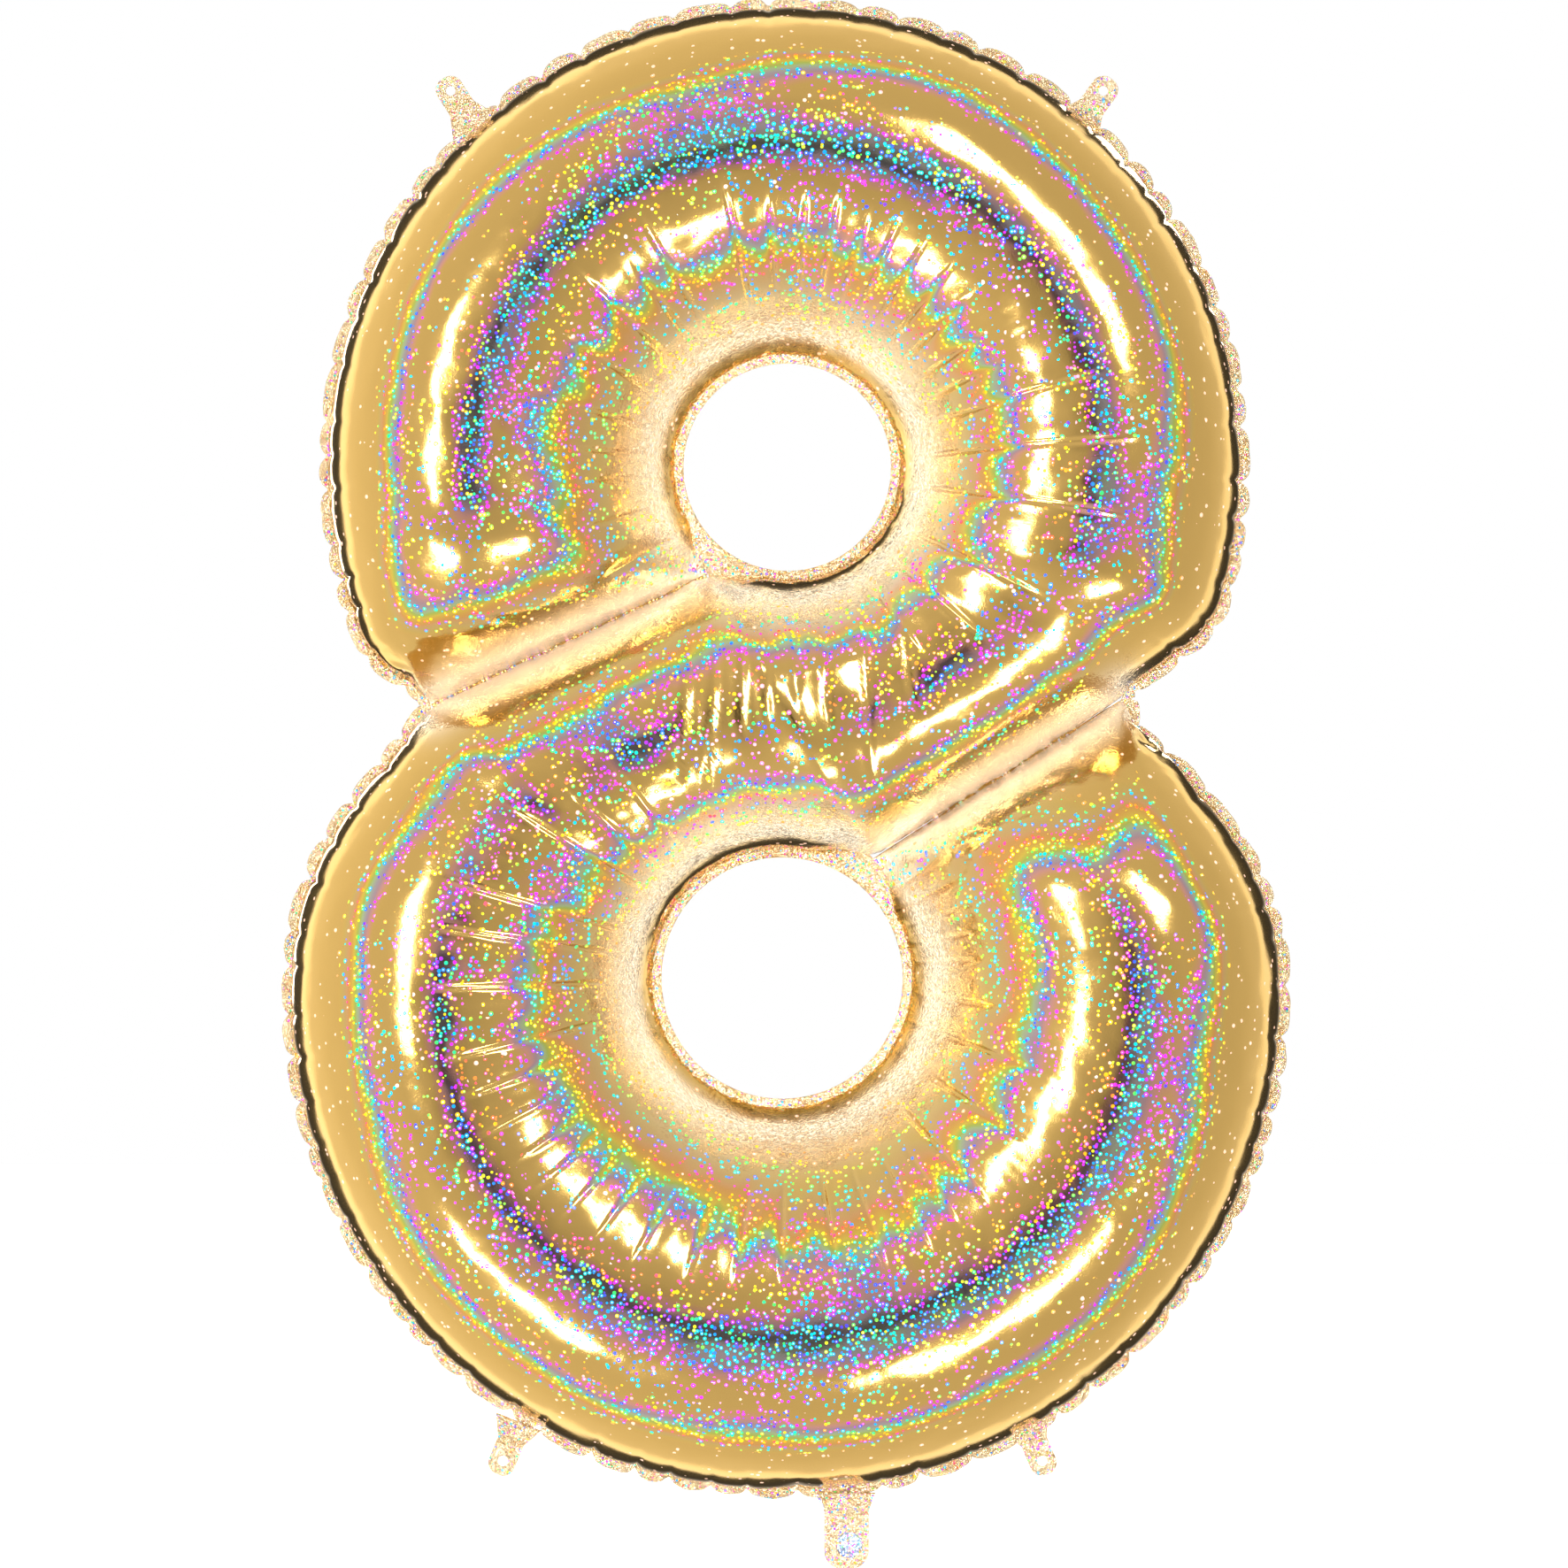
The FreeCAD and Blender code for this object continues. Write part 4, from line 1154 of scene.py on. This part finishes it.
def glitter_group():
    group, given, result = new_group(
        "Holographic glitter",
        [("Degrees", "NodeSocketFloat", 20.0), ("Second", "NodeSocketFloat", 20.0),
         ("Scatter", "NodeSocketFloat", 4.0), ("Amount", "NodeSocketFloat", 1.0),
         ("Cells", "NodeSocketFloat", CELLS), ("Plain", "NodeSocketColor", (0.62, 0.40, 0.11, 1)),
         ("Tint", "NodeSocketFloat", 1.0), ("Pale", "NodeSocketFloat", 0.0)],
        [("Color", "NodeSocketColor"), ("Glow", "NodeSocketColor"), ("Sparkle", "NodeSocketFloat")])
    link = group.links.new
    place = add(group, "ShaderNodeTexCoord")
    cells = add(group, "ShaderNodeTexVoronoi", feature="F1")
    link(place.outputs["Object"], cells.inputs["Vector"])
    link(given.outputs["Cells"], cells.inputs["Scale"])
    chance = add(group, "ShaderNodeSeparateColor")
    link(cells.outputs["Color"], chance.inputs[0])
    again = add(group, "ShaderNodeTexWhiteNoise")
    link(cells.outputs["Color"], again.inputs["Vector"])
    second = math_node(group, "LESS_THAN", again.outputs["Value"], SECOND_SHARE)
    chosen = add(group, "ShaderNodeMix", data_type="FLOAT")
    link(second, chosen.inputs[0])
    link(given.outputs["Degrees"], chosen.inputs[2])
    link(given.outputs["Second"], chosen.inputs[3])
    plain_share = math_node(group, "DIVIDE", given.outputs["Degrees"], BAND_LIMIT, clamp=True)
    own_share = math_node(group, "DIVIDE", chosen.outputs[0], BAND_LIMIT, clamp=True)
    shift = math_node(group, "SUBTRACT", chance.outputs[0], 0.5)
    shift = math_node(group, "MULTIPLY", shift, given.outputs["Scatter"])
    share = math_node(group, "DIVIDE",
                      math_node(group, "ADD", chosen.outputs[0], shift), BAND_LIMIT, clamp=True)
    size = math_node(group, "MULTIPLY", chance.outputs[1], DOT_SPREAD)
    size = math_node(group, "ADD", size, DOT_SIZE)
    limit = by_degrees(group, own_share, DENSITY)
    limit = math_node(group, "MULTIPLY", limit, given.outputs["Amount"])
    lit = math_node(group, "LESS_THAN", chance.outputs[2], limit)
    dot = math_node(group, "MULTIPLY",
                    math_node(group, "LESS_THAN", cells.outputs["Distance"], size), lit)
    centre = math_node(group, "LESS_THAN", cells.outputs["Distance"],
                       math_node(group, "MULTIPLY", size, DOT_CENTRE))
    spectrum = by_degrees(group, share, RAINBOW)
    tint = math_node(group, "MULTIPLY", by_degrees(group, plain_share, TINT), given.outputs["Tint"])
    # the film between the dots is tinted with the painted rainbow
    film = mixed(group, tint, given.outputs["Plain"], by_degrees(group, plain_share, RAINBOW))
    # the painted sheen and highlight make the film paler
    film = mixed(group, given.outputs["Pale"], film, SHEEN_FILM)
    # the whitish middle of each dot is a painted glint
    grain = mixed(group, math_node(group, "MULTIPLY", centre, 0.7), spectrum, (1.0, 0.98, 0.95, 1))
    # the painted sheen also gives off light, a painted glow
    haze = mixed(group, given.outputs["Pale"], (0.0, 0.0, 0.0, 1), SHEEN_GLOW)
    link(mixed(group, dot, film, grain), result.inputs["Color"])
    # Glow makes the dots give off light as painted glints, and the painted sheen glow
    link(mixed(group, dot, haze, grain), result.inputs["Glow"])
    link(math_node(group, "MAXIMUM", dot, math_node(group, "MULTIPLY", given.outputs["Pale"], 0.5)),
         result.inputs["Sparkle"])
    return group


glitter = glitter_group()
print("rainbow stops", len(RAINBOW))

# %% The crinkle group


def crinkle_group():
    group, given, result = new_group(
        "Crinkled film", [("Scale", "NodeSocketFloat", 60.0), ("Depth", "NodeSocketFloat", 0.3)],
        [("Height", "NodeSocketFloat"), ("Normal", "NodeSocketVector")])
    link = group.links.new
    place = add(group, "ShaderNodeTexCoord")
    broad = add(group, "ShaderNodeTexNoise")
    broad.inputs["Detail"].default_value = 3
    link(place.outputs["Object"], broad.inputs["Vector"])
    link(given.outputs["Scale"], broad.inputs["Scale"])
    folds = add(group, "ShaderNodeTexVoronoi", feature="DISTANCE_TO_EDGE")
    link(broad.outputs["Color"], folds.inputs["Vector"])
    folds.inputs["Scale"].default_value = 9
    height = math_node(group, "ADD", math_node(group, "MULTIPLY", folds.outputs["Distance"], 0.8),
                       broad.outputs[0])
    bump = add(group, "ShaderNodeBump")
    bump.inputs["Distance"].default_value = 0.002
    link(given.outputs["Depth"], bump.inputs["Strength"])
    link(height, bump.inputs["Height"])
    link(height, result.inputs["Height"])
    link(bump.outputs[0], result.inputs["Normal"])
    return group


crinkled = crinkle_group()

# %% The materials
SHEEN_CRINKLE = 0.55                     # how much deeper the fine crinkles are where the painted sheen lies


def film_material(name, plain, scatter, metal, rough, wrinkle, cells=CELLS, tint=1.0, glow=0.45,
                  amount=1.0):
    """Metallised film: gloss from the shader, colour from the glitter group, with its painted
    rainbow, painted glints and painted sheen.
    """
    material = bpy.data.materials.new(name)
    material.use_nodes = True
    tree = material.node_tree
    link = tree.links.new
    shader = tree.nodes["Principled BSDF"]
    grains = add(tree, "ShaderNodeGroup", node_tree=glitter)
    for band, socket in zip(BANDS, ("Degrees", "Second")):
        degrees = add(tree, "ShaderNodeAttribute", attribute_name=band)
        link(degrees.outputs["Fac"], grains.inputs[socket])
    # pale is the painted sheen and highlight at the seams and holes
    pale = add(tree, "ShaderNodeAttribute", attribute_name="pale")
    link(pale.outputs["Fac"], grains.inputs["Pale"])
    for socket, value in (("Amount", amount), ("Scatter", scatter), ("Cells", cells),
                          ("Plain", (*plain, 1)), ("Tint", tint)):
        grains.inputs[socket].default_value = value
    folds = add(tree, "ShaderNodeGroup", node_tree=crinkled)
    folds.inputs["Scale"].default_value = wrinkle[0]
    link(math_node(tree, "ADD", wrinkle[1],
                   math_node(tree, "MULTIPLY", pale.outputs["Fac"], SHEEN_CRINKLE)),
         folds.inputs["Depth"])
    link(grains.outputs["Color"], shader.inputs["Base Color"])
    link(folds.outputs["Normal"], shader.inputs["Normal"])
    # the emission is painted light: glowing glints on the dots and a glow on the painted sheen
    link(grains.outputs["Glow"], shader.inputs["Emission Color"])
    shader.inputs["Emission Strength"].default_value = glow
    for socket, operation, (base, change) in (("Metallic", "SUBTRACT", metal),
                                              ("Roughness", "ADD", rough)):
        share = math_node(tree, "MULTIPLY", grains.outputs["Sparkle"], change)
        link(math_node(tree, operation, base, share), shader.inputs[socket])
    return material


def clear_material(name):
    material = bpy.data.materials.new(name)
    material.use_nodes = True
    tree = material.node_tree
    shader = tree.nodes["Principled BSDF"]
    tint = add(tree, "ShaderNodeTexNoise")
    tint.inputs["Scale"].default_value = 30
    ramp = add(tree, "ShaderNodeValToRGB")
    ramp.color_ramp.elements[0].color = (0.86, 0.88, 0.9, 1)
    ramp.color_ramp.elements[1].color = (0.95, 0.96, 0.97, 1)
    place = add(tree, "ShaderNodeTexCoord")
    tree.links.new(place.outputs["Object"], tint.inputs["Vector"])
    tree.links.new(tint.outputs[0], ramp.inputs[0])
    tree.links.new(ramp.outputs[0], shader.inputs["Base Color"])
    shader.inputs["Roughness"].default_value = 0.12
    shader.inputs["Alpha"].default_value = 0.35
    shader.inputs["IOR"].default_value = 1.45
    return material


GOLD = (0.64, 0.41, 0.12)
gold = film_material("Gold holographic film", GOLD, 3.0, (0.98, 0.22), (0.11, 0.26), (75, 0.02))
sealed = film_material("Gold film seal", (0.86, 0.68, 0.44), 22.0, (0.95, 0.25), (0.10, 0.20),
                       (110, 0.9), cells=520, tint=0.1, glow=0.25, amount=0.62)
silver = film_material("Silver inside of the film", (0.50, 0.60, 0.78), 18.0, (0.95, 0.30),
                       (0.22, 0.10), (60, 0.6), cells=600, tint=0.3, amount=0.7)
clear = clear_material("Clear valve film")
for material, pieces in (
        (gold, [front_film, back_film, left_seam, right_seam]),
        (sealed, [outer_band, upper_ring, lower_ring, *tab_pieces, front_ply, neck]),
        (silver, [back_ply]), (clear, valve_pieces)):
    for piece in pieces:
        piece.data.materials.clear()
        piece.data.materials.append(material)
back_ply.data.materials.append(sealed)      # silver only on the side towards the front ply
for face in back_ply.data.polygons:
    if face.normal.y > 0:
        face.material_index = 1
print("materials", len(bpy.data.materials))

# %% [markdown]

# %% [markdown]
# ## Stage, light and camera
# A pale floor lies below. Soft boxes stand where the rainbow's slopes say, far enough off that
# they mirror alike all over, and weaker ones light the back. The sky is bright at the sides,
# dark right by the camera and behind, which gives metal film its gold flanks, the dark line
# down its crest and the dark line at its rim. Seen straight, the sky is white.

# %% The floor
MIDDLE_X, MIDDLE_Z = 0.0048, -0.4715    # what the camera and the lamps point at
FLOOR_Z = cad_low.z - 0.12

bpy.ops.mesh.primitive_plane_add(size=14, location=(0, 0, FLOOR_Z))
floor = bpy.context.object
floor.name = "floor"
paper = bpy.data.materials.new("Pale paper")
paper.use_nodes = True
shader = paper.node_tree.nodes["Principled BSDF"]
shader.inputs["Base Color"].default_value = (0.9, 0.9, 0.9, 1)
shader.inputs["Roughness"].default_value = 0.9
shader.inputs["Emission Color"].default_value = (1, 1, 1, 1)
shader.inputs["Emission Strength"].default_value = 0.9
floor.data.materials.append(paper)
floor.visible_shadow = floor.visible_glossy = floor.visible_diffuse = False

# %% The sky and the lamps
LAMP_DISTANCE = 4.0
# brightness from the camera's side (0) round to behind the balloon (1)
SKY = [(0.0, 0.07), (0.0006, 0.14), (0.003, 0.50), (0.02, 0.70), (0.1, 0.86), (0.5, 1.05),
       (0.68, 1.20), (0.73, 1.9), (0.79, 2.0), (0.82, 0.08), (0.93, 0.05), (0.97, 0.5), (1.0, 0.6)]
SIDES = [(0.0, 1.15), (0.5, 1.0), (1.0, 0.85)]   # from the left round to the right
LAMP_WATTS = {"left": 42.0, "upper_right": 52.0, "low_left": 34.0, "low_right": 44.0}
BEHIND_SHARE = 0.6                      # strength of the lamps behind, against those in front


def sky():
    world = bpy.data.worlds.new("Studio")
    bpy.context.scene.world = world
    world.use_nodes = True
    tree = world.node_tree
    place = add(tree, "ShaderNodeTexCoord")
    split = add(tree, "ShaderNodeSeparateXYZ")
    tree.links.new(place.outputs["Generated"], split.inputs[0])
    levels = []
    for socket, stops in ((1, SKY), (0, SIDES)):
        ramp = add(tree, "ShaderNodeValToRGB")
        half = math_node(tree, "MULTIPLY", math_node(tree, "ADD", split.outputs[socket], 1.0), 0.5)
        tree.links.new(half, ramp.inputs[0])
        set_ramp(ramp, [(share, (level, level * 0.98, level * 0.95)) for share, level in stops])
        levels.append(ramp.outputs[0])
    tree.links.new(levels[0], tree.nodes["Background"].inputs[0])
    tree.links.new(levels[1], tree.nodes["Background"].inputs[1])
    straight = add(tree, "ShaderNodeLightPath")
    white = add(tree, "ShaderNodeBackground")
    both = add(tree, "ShaderNodeMixShader")
    tree.links.new(straight.outputs["Is Camera Ray"], both.inputs[0])
    tree.links.new(tree.nodes["Background"].outputs[0], both.inputs[1])
    tree.links.new(white.outputs[0], both.inputs[2])
    white.inputs[0].default_value = (1, 1, 1, 1)
    tree.links.new(both.outputs[0], tree.nodes["World Output"].inputs[0])


def lamp(name, middle, half, turn, watts, behind=False):
    """A soft box whose mirror image lies at the given slopes of the film."""
    right, up = (math.radians(2 * value) for value in middle)
    off = math.hypot(right, up)
    way = np.array([math.sin(off) * right / off, -math.cos(off), math.sin(off) * up / off])
    way *= (1, -1 if behind else 1, 1)
    light = bpy.data.lights.new(name, "AREA")
    light.shape = "RECTANGLE"
    light.size = 2 * LAMP_DISTANCE * math.tan(math.radians(2 * half[0]))
    light.size_y = 2 * LAMP_DISTANCE * math.tan(math.radians(2 * half[1]))
    light.energy = watts
    piece = bpy.data.objects.new(name, light)
    bpy.context.collection.objects.link(piece)
    back = Vector(way)
    face = back.to_track_quat("Z", "Y").to_matrix().to_4x4()
    spin = Matrix.Rotation(math.radians(turn), 4, "Z")
    piece.matrix_world = (Matrix.Translation(Vector((MIDDLE_X, 0, MIDDLE_Z)) + back * LAMP_DISTANCE)
                          @ face @ spin)


sky()
for name, (middle, half, turn) in LAMPS.items():
    lamp("softbox_" + name, middle, half, turn, LAMP_WATTS[name])
for name in ("left", "upper_right"):
    lamp("softbox_behind_" + name, *LAMPS[name], BEHIND_SHARE * LAMP_WATTS[name], behind=True)

# %% The camera
CAMERA_DISTANCE = 4.6
VIEW_WIDTH = 1.0667
camera = bpy.data.cameras.new("Camera")
camera.lens = camera.sensor_width * CAMERA_DISTANCE / VIEW_WIDTH
viewer = bpy.data.objects.new("Camera", camera)
bpy.context.collection.objects.link(viewer)
viewer.location = (MIDDLE_X, -CAMERA_DISTANCE, MIDDLE_Z)
viewer.rotation_euler = (math.radians(90), 0, 0)
bpy.context.scene.camera = viewer
bpy.context.scene.view_settings.view_transform = "Standard"
